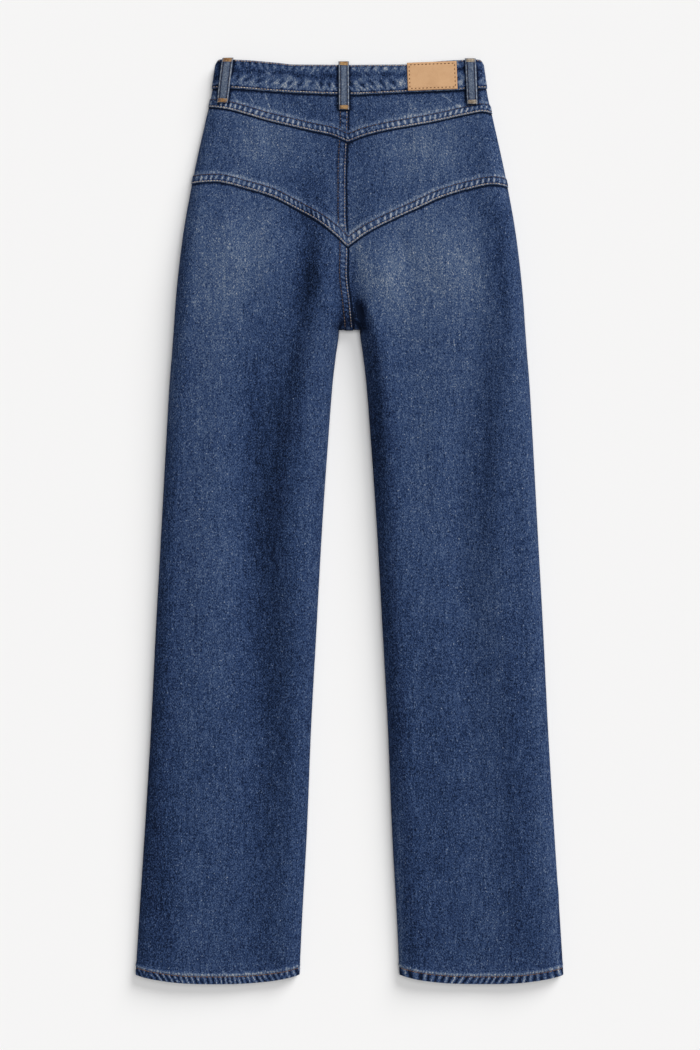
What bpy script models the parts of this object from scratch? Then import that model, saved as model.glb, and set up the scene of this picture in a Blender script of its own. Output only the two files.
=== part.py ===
"""Wide-leg jeans laid flat on their front, back up, waist towards +Y. Metres, +Z up.

Every cloth piece is one wall. A piece is drawn as a grid between its own seams: an upright is a line down
the garment, a level is a line across it. Places are given as across, from the centre line, and down, from
the waist.
"""

import math
from collections import namedtuple

import bmesh
import bpy
import numpy as np

MM = 0.001

# Driving sizes, in millimetres
LENGTH = 1101.0
TOP_Y = 550.0
CLOTH = 1.2
BAND_CLOTH = 2.6
WAISTBAND_LIFT = 1.3
SEAM_GAP = 0.3
FELL_WIDTH = 10.0
FELL_LIFT = 1.0
FELL_STEP = 0.7
HEM_WIDTH = 10.0
HEM_CLOTH = 2.8
ROLL_OUTER = 20.0
ROLL_INNER = 24.0
ROLL_CROTCH = 15.0
ROLL_FRONT = 9.0
CROTCH_DOWN = 322.0
CROTCH_HALF = 12.5
CROTCH_CORNER = 3.5
INNER_LINE_SPREAD = 0.1
# A reach small enough to measure a slope over, and the rounds after which a crossing no longer moves
NEAR = 0.02
SETTLING_ROUNDS = 12

Outline = namedtuple("Outline", "down outer inner")
OUTLINE = (
    Outline(0, 158.0, CROTCH_HALF),
    Outline(43, 164.8, CROTCH_HALF),
    Outline(72, 171.4, CROTCH_HALF),
    Outline(143, 186.8, CROTCH_HALF),
    Outline(215, 199.3, CROTCH_HALF),
    Outline(286, 207.1, CROTCH_HALF),
    Outline(322, 209.6, CROTCH_HALF),
    Outline(352, 211.8, 16.1),
    Outline(381, 214.2, 19.6),
    Outline(441, 217.8, 24.4),
    Outline(560, 224.3, 32.7),
    Outline(679, 230.9, 39.3),
    Outline(798, 236.8, 45.8),
    Outline(917, 244.0, 50.6),
    Outline(1036, 251.7, 57.1),
    Outline(LENGTH, 255.8, 60.0),
)

# How high the laid garment stands, and how high its side seams and inseams lie
Height = namedtuple("Height", "down crest seam")
HEIGHTS = (
    Height(-10, 14.0, 6.0),
    Height(40, 14.5, 6.0),
    Height(100, 17.5, 6.5),
    Height(180, 22.5, 7.5),
    Height(260, 26.0, 8.0),
    Height(340, 25.5, 8.0),
    Height(450, 24.0, 8.0),
    Height(600, 22.0, 7.5),
    Height(800, 19.5, 7.0),
    Height(1000, 16.5, 6.5),
    Height(LENGTH + 10, 14.0, 6.0),
)

# The largest folds, as ridges and troughs that run down the garment: where each lies and how far it lifts
# the cloth at these distances down
FOLD_DOWN = (150, 240, 320, 430, 570, 740, 900, 1100)
Fold = namedtuple("Fold", "name half_width across lift")
FOLDS = (
    Fold("left outer ridge", 30, (-136, -158, -164, -169, -175, -182, -190, -196), (1, 3, 2, 2, 2, 2, 2, 1)),
    Fold("left trough", 27, (-50, -59, -80, -106, -116, -109, -106, -104), (0, -4, -7, -8, -9, -7, -4, -2)),
    Fold("left inner ridge", 20, (-22, -27, -38, -59, -69, -67, -70, -76), (1, 2, 3, 3, 3, 3, 2, 1)),
    Fold("seat valley", 17, (-3, -3, 1, 2, 2, 2, 2, 2), (-1, -5, -8, 0, 0, 0, 0, 0)),
    Fold("right inner ridge", 22, (30, 34, 34, 48, 58, 63, 74, 82), (1, 2, 4, 4, 3, 2, 2, 1)),
    Fold("right trough", 24, (140, 152, 152, 139, 131, 140, 146, 150), (-1, -3, -4, -6, -7, -4, -2, -1)),
    Fold("right outer ridge", 18, (172, 183, 190, 184, 180, 190, 200, 206), (1, 2, 3, 3, 3, 3, 2, 1)),
)

# Seams and edges of the back, as across and down
Point = namedtuple("Point", "across down")
WAIST_EDGE = (
    Point(-160, 0.0),
    Point(-119, 1.8),
    Point(-86, 4.6),
    Point(-65, 6.6),
    Point(0, 7.1),
    Point(65, 6.6),
    Point(86, 4.6),
    Point(119, 1.8),
    Point(160, 0.0),
)
WAIST_SEAM = (
    Point(-168, 34.6),
    Point(-141, 35.3),
    Point(-98, 38.2),
    Point(-60, 40.8),
    Point(0, 42.6),
    Point(70, 39.7),
    Point(129, 37.0),
    Point(168, 34.2),
)
UPPER_YOKE_SEAM = (
    Point(-172, 56.4),
    Point(-150, 59.3),
    Point(-98, 73.4),
    Point(-47, 85.7),
    Point(-21, 91.5),
    Point(-2, 99.6),
    Point(18, 92.0),
    Point(43, 85.8),
    Point(98, 75.6),
    Point(146, 65.0),
    Point(158, 63.0),
    Point(172, 65.2),
)
LOWER_YOKE_SEAM = (
    Point(-190, 148.9),
    Point(-161, 147.3),
    Point(-120, 156.2),
    Point(-92, 164.8),
    Point(-65, 178.5),
    Point(-37, 194.5),
    Point(-14, 213.0),
    Point(-2, 224.4),
    Point(19, 209.4),
    Point(49, 193.5),
    Point(80, 179.1),
    Point(110, 165.4),
    Point(140, 156.2),
    Point(171, 150.5),
    Point(190, 153.0),
)
# The centre back seam wanders a little to each side as it goes down
CENTRE_SEAM = (
    Point(-1.5, 0),
    Point(-1.5, 67),
    Point(-4.2, 143),
    Point(-4.2, 185),
    Point(-2.0, 224),
    Point(-2.6, 255),
    Point(1.0, 289),
    Point(4.5, 322),
)
# The hem hangs lowest in the middle of each leg, as the cloth's arch leaves its edges short
HEM_DOWN = 1090.5
HEM_SAG = 10.5
HEM_SAG_POWER = 2.6

# The front's waist and its seam dip towards the fly
FRONT_EDGE_SIDE = 2.0
FRONT_EDGE_CENTRE = 14.0
FRONT_SEAM_SIDE = 36.0
FRONT_SEAM_CENTRE = 50.0

Loop = namedtuple("Loop", "name top_across bottom_across top_down bottom_down foot_lift")
LOOPS = (
    Loop("belt_loop_left", -144.2, -150.8, -1.2, 52.4, 1.5),
    Loop("belt_loop_centre", -7.0, -6.6, 3.0, 60.5, 1.5),
    Loop("belt_loop_right", 143.4, 146.1, -0.8, 54.0, 1.5),
)
LOOP_WIDTH = 12.6
LOOP_CLOTH = 1.8
LOOP_BOW = 1.0

PATCH_ACROSS = 68.2
PATCH_DOWN = 4.8
PATCH_WIDTH = 59.1
PATCH_HEIGHT = 33.4
PATCH_TILT = math.radians(2.2)
PATCH_CLOTH = 1.1

BUTTON_ACROSS = -12.0
BUTTON_RADIUS = 8.5
BUTTON_HEAD = 1.5
BUTTON_SIDES = 24
BUTTON_ROOM = 2.1
BUTTON_REACH = 24.0
ZIP_HALF_WIDTH = 13.0
ZIP_TOP = 61.0
ZIP_BOTTOM = 172.0
ZIP_CLOTH = 1.0
SLIDER_HALF_WIDTH = 4.5
SLIDER_LENGTH = 13.0
SLIDER_THICKNESS = 2.2

DENIM = (0.040, 0.067, 0.150)
DENIM_SEAT = (0.062, 0.094, 0.170)
DENIM_WAIST = (0.048, 0.076, 0.145)
DENIM_LOOP = (0.098, 0.124, 0.182)
PATCH_TAN = (0.582, 0.346, 0.180)
BRASS = (0.55, 0.42, 0.22)
CLOTH_ROUGHNESS = 0.9
METAL_ROUGHNESS = 0.35

# Where the grids have their lines. The first and last ones of a rolled edge lie close together.
ROLLED_EDGE = (0, 0.008, 0.03, 0.062, 0.1)
LEG_COLUMNS = ROLLED_EDGE + (0.18, 0.27, 0.36, 0.45, 0.54, 0.63, 0.72, 0.8, 0.877, 0.925, 0.964, 0.991, 1)
BACK_COLUMNS = {-1: LEG_COLUMNS + (2, 3, 3.5, 4), 1: LEG_COLUMNS + (1.5, 2)}
SEAT_ROWS = (0, 0.14, 0.28, 0.42, 0.56, 0.68, 0.78, 0.86, 0.93, 0.98, 1)
KNEE_DOWNS = (322, 327, 338, 358, 384, 415, 450, 490, 535, 585, 635, 685)
LEG_DOWNS = KNEE_DOWNS + (735, 785, 835, 885, 935, 985, 1030, 1065)
FRONT_EDGE_COLUMNS = (0, 0.0035, 0.013, 0.028, 0.046)
FRONT_COLUMNS = FRONT_EDGE_COLUMNS + (0.35, 0.65, 0.954, 0.972, 0.987, 0.9965, 1)
FRONT_SEAT_ROWS = (0, 0.035, 0.3, 0.5, 0.7, 0.85, 0.967, 0.979, 0.99, 0.997, 1)
FRONT_LEG_DOWNS = (322, 327, 345, 370, 410, 460, 530, 620, 720, 820, 920, 1010, 1060)
WAIST_COLUMNS = ROLLED_EDGE + (0.25, 0.4, 0.55, 0.7, 0.82, 0.92, 1)
UPPER_YOKE_ROWS = (0, 0.5, 1)
LOWER_YOKE_ROWS = (0, 0.25, 0.5, 0.75, 1)


def smooth_curve(at, values):
    """A function through the given values that never overshoots them."""
    at = np.asarray(at, float)
    values = np.asarray(values, float)
    step = np.diff(at)
    rise = np.diff(values) / step
    slope = np.concatenate([rise[:1], (rise[:-1] + rise[1:]) / 2, rise[-1:]])
    for i, (before, after) in enumerate(zip(rise[:-1], rise[1:]), 1):
        if before * after <= 0:
            slope[i] = 0
        else:
            slope[i] = 2 * before * after / (before + after)

    def read(place):
        place = np.clip(place, at[0], at[-1])
        k = np.clip(np.searchsorted(at, place) - 1, 0, len(step) - 1)
        t = (place - at[k]) / step[k]
        bend = (slope[k] - rise[k]) * (1 - t) - (slope[k + 1] - rise[k]) * t
        return values[k] + (rise[k] * t + bend * t * (1 - t)) * step[k]

    return read


def from_table(rows, at, value):
    return smooth_curve([getattr(row, at) for row in rows], [getattr(row, value) for row in rows])


outer_half = from_table(OUTLINE, "down", "outer")
inner_half = from_table(OUTLINE, "down", "inner")
crest_height = from_table(HEIGHTS, "down", "crest")
seam_height = from_table(HEIGHTS, "down", "seam")
waist_edge = from_table(WAIST_EDGE, "across", "down")
waist_seam = from_table(WAIST_SEAM, "across", "down")
upper_yoke_seam = from_table(UPPER_YOKE_SEAM, "across", "down")
lower_yoke_seam = from_table(LOWER_YOKE_SEAM, "across", "down")
centre_seam = from_table(CENTRE_SEAM, "down", "across")
fold_lines = [
    (smooth_curve(FOLD_DOWN, fold.across), smooth_curve(FOLD_DOWN, fold.lift), fold.half_width)
    for fold in FOLDS
]


def roll(distance, radius):
    """How far the cloth has come up, from 0 at its edge to 1 where the roll ends."""
    left = np.clip(1 - distance / radius, 0, 1)
    return np.sqrt(1 - left**2)


def from_inseam(across, down):
    """The distance from the gap between the legs, round the corners of the crotch."""
    half = inner_half(np.maximum(down, CROTCH_DOWN)) - CROTCH_CORNER
    sideways = np.maximum(np.abs(across) - half, 0)
    upwards = np.maximum(CROTCH_DOWN + CROTCH_CORNER - down, 0)
    return np.hypot(sideways, upwards) - CROTCH_CORNER


def from_side(across, down):
    return outer_half(down) - np.abs(across)


def back_height(across, down):
    """The height of the cloth's outer face on the garment's back."""
    crest = crest_height(down)
    for line, lift, half_width in fold_lines:
        crest = crest + lift(down) * np.exp(-(((across - line(down)) / half_width) ** 2))
    below = np.clip((down - CROTCH_DOWN) / ROLL_INNER, 0, 1)
    inner_roll = ROLL_CROTCH + (ROLL_INNER - ROLL_CROTCH) * below
    rolled = roll(from_side(across, down), ROLL_OUTER) * roll(from_inseam(across, down), inner_roll)
    return seam_height(down) + (crest - seam_height(down)) * rolled


def front_height(across, down):
    """The height of the cloth's outer face on the front, which lies on the ground."""
    rolled = roll(from_side(across, down), ROLL_FRONT) * roll(from_inseam(across, down), ROLL_FRONT)
    button_down = (front_edge(BUTTON_ACROSS) + front_seam(BUTTON_ACROSS)) / 2
    away = np.hypot(across - BUTTON_ACROSS, down - button_down)
    room = 1 - roll(BUTTON_REACH - away, BUTTON_REACH - BUTTON_RADIUS - 2 * SEAM_GAP)
    return seam_height(down) * (1 - rolled) + BUTTON_ROOM * (1 - room)


def front_edge(across):
    share = np.abs(across) / OUTLINE[0].outer
    return FRONT_EDGE_CENTRE + (FRONT_EDGE_SIDE - FRONT_EDGE_CENTRE) * share**2


def front_seam(across):
    share = np.abs(across) / OUTLINE[1].outer
    return FRONT_SEAM_CENTRE + (FRONT_SEAM_SIDE - FRONT_SEAM_CENTRE) * share**2


def hem(across):
    middle = (outer_half(HEM_DOWN) + inner_half(HEM_DOWN)) / 2
    half = (outer_half(HEM_DOWN) - inner_half(HEM_DOWN)) / 2
    share = np.clip(np.abs(np.abs(across) - middle) / half, 0, 1)
    return HEM_DOWN + HEM_SAG * (1 - share**HEM_SAG_POWER)


def crotch(across):
    return CROTCH_DOWN + 0 * across


def moved(line, by):
    return lambda place: line(place) + by


def side_edge(side):
    return lambda down: side * outer_half(down)


def inner_line(side):
    """The inseam, and the line of the grid that goes on above it to the waist."""
    return lambda down: side * (inner_half(down) + INNER_LINE_SPREAD * np.maximum(CROTCH_DOWN - down, 0))


def locate(columns, rows, uprights, levels):
    """Across and down where each column crosses each row. Column 1.5 lies halfway from upright 1 to 2."""
    column, row = np.meshgrid(columns, rows, indexing="ij")
    down = np.interp(row, range(len(levels)), [float(level(0.0)) for level in levels])
    for _ in range(SETTLING_ROUNDS):
        lines = np.stack([upright(down) + 0 * down for upright in uprights])
        across = between(lines, column)
        down = between(np.stack([level(across) + 0 * down for level in levels]), row)
    return across, down


def between(lines, place):
    first = np.clip(np.floor(place).astype(int), 0, len(lines) - 2)
    share = place - first
    low = np.take_along_axis(lines, first[None], 0)[0]
    high = np.take_along_axis(lines, first[None] + 1, 0)[0]
    return low + (high - low) * share


def outward(height, across, down, facing):
    """Unit normals of a face, from its slopes. They point away from the inside of the garment."""
    slope_x = (height(across + NEAR, down) - height(across - NEAR, down)) / (2 * NEAR)
    slope_y = (height(across, down - NEAR) - height(across, down + NEAR)) / (2 * NEAR)
    normal = np.stack([-slope_x, -slope_y, np.ones_like(slope_x)], axis=-1) * facing
    return normal / np.linalg.norm(normal, axis=-1, keepdims=True)


def finish_piece(bm, name, colour, roughness, metallic=0.0):
    """Turn the mesh into a named object with its own material."""
    bmesh.ops.recalc_face_normals(bm, faces=bm.faces)
    mesh = bpy.data.meshes.new(name)
    bm.to_mesh(mesh)
    bm.free()
    mesh.shade_smooth()
    mesh.set_sharp_from_angle(angle=math.radians(40))
    piece = bpy.data.objects.new(name, mesh)
    bpy.context.scene.collection.objects.link(piece)
    material = bpy.data.materials.new(name)
    material.use_nodes = True
    shader = material.node_tree.nodes["Principled BSDF"]
    shader.inputs["Base Color"].default_value = (*colour, 1)
    shader.inputs["Roughness"].default_value = roughness
    shader.inputs["Metallic"].default_value = metallic
    mesh.materials.append(material)
    return piece


def cloth(name, columns, rows, uprights, levels, colour, front=False, lift=None, wall=None, cut=None):
    """One wall of cloth. lift and wall give, at each column and row, how far its outer face is raised and
    how thick it is below the surface. cut tells which cells of the grid lie outside the piece."""
    height = front_height if front else back_height
    facing = -1 if front else 1
    across, down = locate(columns, rows, uprights, levels)
    column, row = np.meshgrid(columns, rows, indexing="ij")
    raised = (lift(column, row) if lift else 0) + np.zeros_like(across)
    thick = (wall(column, row) if wall else CLOTH) + np.zeros_like(across)
    normal = outward(height, across, down, facing)
    at_seam = np.abs(np.minimum(from_side(across, down), from_inseam(across, down))) < NEAR / 2
    normal[at_seam, 2] = 0
    normal /= np.linalg.norm(normal, axis=-1, keepdims=True)
    surface = np.stack([across, TOP_Y - down, height(across, down)], axis=-1)
    surface[at_seam, 2] += facing * SEAM_GAP / 2
    outside = (surface + normal * raised[..., None]) * MM
    inward = -normal * (thick + raised)[..., None] * MM

    bm = bmesh.new()
    thickness = bm.verts.layers.float_vector.new("inward")
    bmesh.ops.create_grid(bm, x_segments=len(columns) - 1, y_segments=len(rows) - 1, size=1)
    bm.verts.ensure_lookup_table()
    bm.faces.ensure_lookup_table()
    for index, vert in enumerate(bm.verts):
        j, i = divmod(index, len(columns))
        vert.co = outside[i, j]
        vert[thickness] = inward[i, j]
    if cut:
        cells = [divmod(index, len(columns) - 1) for index in range(len(bm.faces))]
        outside_piece = [face for face, (j, i) in zip(bm.faces, cells) if cut(columns[i], rows[j])]
        bmesh.ops.delete(bm, geom=outside_piece, context="FACES")
    inner = bmesh.ops.extrude_face_region(bm, geom=list(bm.faces))
    for vert in inner["geom"]:
        if isinstance(vert, bmesh.types.BMVert):
            vert.co += vert[thickness]
    return finish_piece(bm, name, colour, CLOTH_ROUGHNESS)


def stepped(start, amount):
    """An amount that comes in over one space of the grid, from the line numbered start to the next."""
    return lambda place: amount * np.clip(place - start, 0, 1)


def leg_rows(seat_rows, downs):
    """Rows over the seat, from 0 to 1, then down the leg, from 1 to 2, and the turned hem, from 2 to 4."""
    reach = HEM_DOWN + HEM_SAG / 2 - HEM_WIDTH
    leg = [1 + (down - CROTCH_DOWN) / (reach - CROTCH_DOWN) for down in downs[1:]]
    return seat_rows + tuple(leg) + (2, 3, 4)


def leg_levels(top_seam):
    """The levels that leg_rows counts: top seam, crotch, where the turned hem starts, and the hem's fold."""
    return [
        moved(top_seam, SEAM_GAP / 2),
        crotch,
        moved(hem, -HEM_WIDTH - FELL_STEP),
        moved(hem, -HEM_WIDTH),
        hem,
    ]


def hem_wall(column, row):
    return CLOTH + stepped(2, HEM_CLOTH - CLOTH)(row)


def below_crotch(column, row):
    return column >= 1 and row >= 1


def centre_fell(column_start):
    """The raised band that the left pieces carry along the centre back seam."""
    return lambda column, row: stepped(column_start, FELL_LIFT)(column)


def centre_uprights(side, first):
    """Uprights of a back piece, up to the centre seam with its felled band on the left."""
    if side < 0:
        edge = moved(centre_seam, -SEAM_GAP / 2)
        return first + [moved(edge, -FELL_WIDTH - FELL_STEP), moved(edge, -FELL_WIDTH), edge]
    return first + [moved(centre_seam, SEAM_GAP / 2)]


def back_leg(name, side, colour):
    uprights = centre_uprights(side, [side_edge(side), inner_line(side)])
    columns = BACK_COLUMNS[side]
    lift = centre_fell(2) if side < 0 else None
    rows = leg_rows(SEAT_ROWS, LEG_DOWNS)
    levels = leg_levels(lower_yoke_seam)
    cloth(name, columns, rows, uprights, levels, colour, False, lift, hem_wall, below_crotch)


def front_leg(name, side, colour):
    centre = lambda down: side * SEAM_GAP / 2 + 0 * down
    uprights = [side_edge(side), inner_line(side), centre]
    rows = leg_rows(FRONT_SEAT_ROWS, FRONT_LEG_DOWNS)
    columns = FRONT_COLUMNS + (1.5, 2)
    cloth(name, columns, rows, uprights, leg_levels(front_seam), colour, True, None, hem_wall, below_crotch)


def yoke(name, side, top, bottom, rows, colour):
    """A yoke piece, with the felled band along its lower edge and, on the left, along the centre seam."""
    uprights = centre_uprights(side, [side_edge(side), inner_line(side)])
    columns = BACK_COLUMNS[side]
    edge = moved(bottom, -SEAM_GAP / 2)
    fell_top = moved(edge, -FELL_WIDTH)
    levels = [moved(top, SEAM_GAP / 2), moved(fell_top, -FELL_STEP), fell_top, edge]
    lower_fell = stepped(1, FELL_LIFT)
    side_fell = stepped(2, FELL_LIFT if side < 0 else 0)
    lift = lambda column, row: np.maximum(lower_fell(row), side_fell(column))
    cloth(name, columns, rows + (2, 2.5, 3), uprights, levels, colour, lift=lift)


def waistband_back(colour):
    uprights = [side_edge(-1), lambda down: 0 * down, side_edge(1)]
    columns = WAIST_COLUMNS + tuple(2 - column for column in reversed(WAIST_COLUMNS[:-1]))
    levels = [waist_edge, moved(waist_seam, -SEAM_GAP / 2)]
    lift = lambda column, row: WAISTBAND_LIFT
    wall = lambda column, row: BAND_CLOTH - WAISTBAND_LIFT
    cloth("waistband_back", columns, (0, 0.04, 0.35, 0.7, 1), uprights, levels, colour, False, lift, wall)


def waistband_front(name, side, colour):
    uprights = [side_edge(side), lambda down: side * SEAM_GAP / 2 + 0 * down]
    levels = [front_edge, moved(front_seam, -SEAM_GAP / 2)]
    columns = FRONT_EDGE_COLUMNS + (0.3, 0.6, 0.8, 0.86, 0.9, 0.94, 0.97, 1)
    wall = lambda column, row: BAND_CLOTH
    cloth(name, columns, (0, 0.2, 0.35, 0.5, 0.65, 0.8, 1), uprights, levels, colour, True, None, wall)


def belt_loop(loop, colour):
    """A folded strip tacked over the waistband: its ends lie on the cloth and its middle bows out."""
    lean = (loop.bottom_across - loop.top_across) / (loop.bottom_down - loop.top_down)
    middle = lambda down: loop.top_across + lean * (down - loop.top_down)
    uprights = [moved(middle, -LOOP_WIDTH / 2), moved(middle, LOOP_WIDTH / 2)]
    levels = [lambda across: loop.top_down + 0 * across, lambda across: loop.bottom_down + 0 * across]
    head = WAISTBAND_LIFT + SEAM_GAP
    room = (head, head + LOOP_BOW, head + LOOP_BOW, head + SEAM_GAP, loop.foot_lift)
    clear = smooth_curve((0, 0.2, 0.62, 0.8, 1), room)
    lift = lambda column, row: clear(row) + LOOP_CLOTH
    wall = lambda column, row: -clear(row)
    rows = (0, 0.07, 0.2, 0.35, 0.5, 0.62, 0.8, 0.93, 1)
    cloth(loop.name, (0, 0.5, 1), rows, uprights, levels, colour, lift=lift, wall=wall)


def waistband_patch(colour):
    lean = math.tan(PATCH_TILT)
    left = lambda down: PATCH_ACROSS + lean * (down - PATCH_DOWN)
    top = lambda across: PATCH_DOWN - lean * (across - PATCH_ACROSS)
    levels = [top, moved(top, PATCH_HEIGHT)]
    clear = WAISTBAND_LIFT + SEAM_GAP
    lift = lambda column, row: clear + PATCH_CLOTH
    wall = lambda column, row: -clear
    columns = (0, 0.25, 0.5, 0.75, 1)
    uprights = [left, moved(left, PATCH_WIDTH)]
    cloth("waistband_patch", columns, (0, 0.33, 0.67, 1), uprights, levels, colour, lift=lift, wall=wall)


def fly_button(colour):
    """The head lies on the ground, under the waistband's end, which arches over it."""
    button_down = (front_edge(BUTTON_ACROSS) + front_seam(BUTTON_ACROSS)) / 2
    bm = bmesh.new()
    bmesh.ops.create_cone(
        bm,
        cap_ends=True,
        segments=BUTTON_SIDES,
        radius1=BUTTON_RADIUS * MM,
        radius2=BUTTON_RADIUS * MM,
        depth=BUTTON_HEAD * MM,
    )
    centre = (BUTTON_ACROSS * MM, (TOP_Y - button_down) * MM, (SEAM_GAP + BUTTON_HEAD / 2) * MM)
    bmesh.ops.translate(bm, verts=bm.verts, vec=centre)
    finish_piece(bm, "fly_button", colour, METAL_ROUGHNESS, 1.0)


def block(name, half_width, top, bottom, floor, thickness, colour, metallic=0.0):
    """A flat strip on the centre line, inside the front."""
    bm = bmesh.new()
    bmesh.ops.create_cube(bm, size=1)
    size = (2 * half_width * MM, (bottom - top) * MM, thickness * MM)
    bmesh.ops.scale(bm, verts=bm.verts, vec=size)
    centre = (0, (TOP_Y - (top + bottom) / 2) * MM, (floor + thickness / 2) * MM)
    bmesh.ops.translate(bm, verts=bm.verts, vec=centre)
    finish_piece(bm, name, colour, METAL_ROUGHNESS if metallic else CLOTH_ROUGHNESS, metallic)


for stale in list(bpy.data.objects):
    bpy.data.objects.remove(stale)

zip_floor = CLOTH + SEAM_GAP
slider_floor = zip_floor + ZIP_CLOTH + SEAM_GAP
slider_top = ZIP_TOP + SEAM_GAP
slider_bottom = slider_top + SLIDER_LENGTH

for side_name, side in (("left", -1), ("right", 1)):
    back_leg(f"back_leg_{side_name}", side, DENIM)
    front_leg(f"front_leg_{side_name}", side, DENIM)
    yoke(f"yoke_upper_{side_name}", side, waist_seam, upper_yoke_seam, UPPER_YOKE_ROWS, DENIM_SEAT)
    yoke(f"yoke_lower_{side_name}", side, upper_yoke_seam, lower_yoke_seam, LOWER_YOKE_ROWS, DENIM_SEAT)
    waistband_front(f"waistband_front_{side_name}", side, DENIM_WAIST)
waistband_back(DENIM_WAIST)
for loop_row in LOOPS:
    belt_loop(loop_row, DENIM_LOOP)
waistband_patch(PATCH_TAN)
fly_button(BRASS)
block("fly_zip", ZIP_HALF_WIDTH, ZIP_TOP, ZIP_BOTTOM, zip_floor, ZIP_CLOTH, DENIM_WAIST)
slider_size = (slider_top, slider_bottom, slider_floor, SLIDER_THICKNESS)
block("fly_slider", SLIDER_HALF_WIDTH, *slider_size, BRASS, 1.0)
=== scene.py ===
import math
from collections import namedtuple

import bmesh
import bpy
import numpy as np
from mathutils import Matrix, Vector


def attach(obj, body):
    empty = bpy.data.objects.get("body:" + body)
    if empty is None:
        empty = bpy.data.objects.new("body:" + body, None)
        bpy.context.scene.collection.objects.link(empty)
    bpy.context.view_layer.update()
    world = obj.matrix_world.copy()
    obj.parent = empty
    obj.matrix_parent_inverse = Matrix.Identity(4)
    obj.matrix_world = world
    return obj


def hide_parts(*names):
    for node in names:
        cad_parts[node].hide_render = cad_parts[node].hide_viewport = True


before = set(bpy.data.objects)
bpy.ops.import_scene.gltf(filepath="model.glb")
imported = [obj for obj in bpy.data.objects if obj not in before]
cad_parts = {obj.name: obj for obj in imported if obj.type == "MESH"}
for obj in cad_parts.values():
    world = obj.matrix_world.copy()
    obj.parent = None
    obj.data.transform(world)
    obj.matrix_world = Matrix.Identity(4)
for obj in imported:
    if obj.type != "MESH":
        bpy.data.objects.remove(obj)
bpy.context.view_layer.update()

MM = 0.001


# Camera, light and ground
# The jeans lie on a pale surface. The camera looks straight down on them, and a wide soft light comes from
# the upper right, so the ground shadow lies to the left of each leg and below the hems.
PHOTO_HEIGHT = 1.2495
LENS = 100.0
SENSOR = 36.0
CAMERA_OVER = Vector((0.0006, -0.0045, 0.014))
SUNLIGHT = (1.0, 0.99, 0.98)
ROOM_LIGHT = (0.97, 0.985, 1.0, 1)
ROOM_STRENGTH = 0.14
GROUND_PAINT = (0.905, 0.907, 0.91, 1)
GROUND_HALF_SIZE = 6.0


def add_object(name, data):
    made = bpy.data.objects.new(name, data)
    bpy.context.scene.collection.objects.link(made)
    return made


def new_material(name, roughness, specular=0.5, metallic=0.0):
    material = bpy.data.materials.new(name)
    material.use_nodes = True
    shader = material.node_tree.nodes["Principled BSDF"]
    shader.inputs["Roughness"].default_value = roughness
    shader.inputs["Specular IOR Level"].default_value = specular
    shader.inputs["Metallic"].default_value = metallic
    return material, material.node_tree, shader


camera_data = bpy.data.cameras.new("camera")
camera_data.lens = LENS
camera_data.sensor_width = SENSOR
camera = add_object("camera", camera_data)
camera.location = CAMERA_OVER + Vector((0, 0, PHOTO_HEIGHT * LENS / SENSOR))
bpy.context.scene.camera = camera
bpy.context.scene.view_settings.view_transform = "Standard"

# Each light: where it comes from, its strength and how many degrees of the sky it fills
Light = namedtuple("Light", "name towards energy angle")
LIGHTS = (
    Light("ceiling_light", Vector((0.14, 0.06, 1.0)), 1.60, 46),
    Light("window_light", Vector((0.52, 0.66, 0.44)), 2.55, 34),
)
for light in LIGHTS:
    sun_data = bpy.data.lights.new(light.name, "SUN")
    sun_data.energy = light.energy
    sun_data.angle = math.radians(light.angle)
    sun_data.color = SUNLIGHT
    sun = add_object(light.name, sun_data)
    sun.rotation_euler = light.towards.to_track_quat("Z", "Y").to_euler()
world = bpy.data.worlds.new("room")
world.use_nodes = True
background = world.node_tree.nodes["Background"]
background.inputs["Color"].default_value = ROOM_LIGHT
background.inputs["Strength"].default_value = ROOM_STRENGTH
bpy.context.scene.world = world

ground_bm = bmesh.new()
bmesh.ops.create_grid(ground_bm, x_segments=1, y_segments=1, size=GROUND_HALF_SIZE)
ground_mesh = bpy.data.meshes.new("ground")
ground_bm.to_mesh(ground_mesh)
ground_bm.free()
ground_material, _, ground_shader = new_material("ground", 0.95)
ground_shader.inputs["Base Color"].default_value = GROUND_PAINT
ground_mesh.materials.append(ground_material)
add_object("ground", ground_mesh)


# Back leg panels
# Each is one piece of washed indigo twill from the lower yoke to the hem, 1.2 mm thick. It lies over the
# front leg as an arch with a ridge near each edge and a trough between. Its foot is turned in and stitched.
TOP_Y = 550.0
LENGTH = 1101.0
CLOTH = 1.2
SEAM_GAP = 0.3
FELL_WIDTH = 11.0
FELL_LIFT = 1.0
HEM_WIDTH = 10.0
HEM_CLOTH = 2.8
ROLL_OUTER = 20.0
ROLL_INNER = 24.0
ROLL_CROTCH = 15.0
ROLL_FRONT = 9.0
CROTCH_DOWN = 322.0
CROTCH_HALF = 12.5
CROTCH_CORNER = 3.5
INNER_LINE_SPREAD = 0.1
NEAR = 0.02
SETTLING_ROUNDS = 12
SIDES = (("left", -1), ("right", 1))

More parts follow.
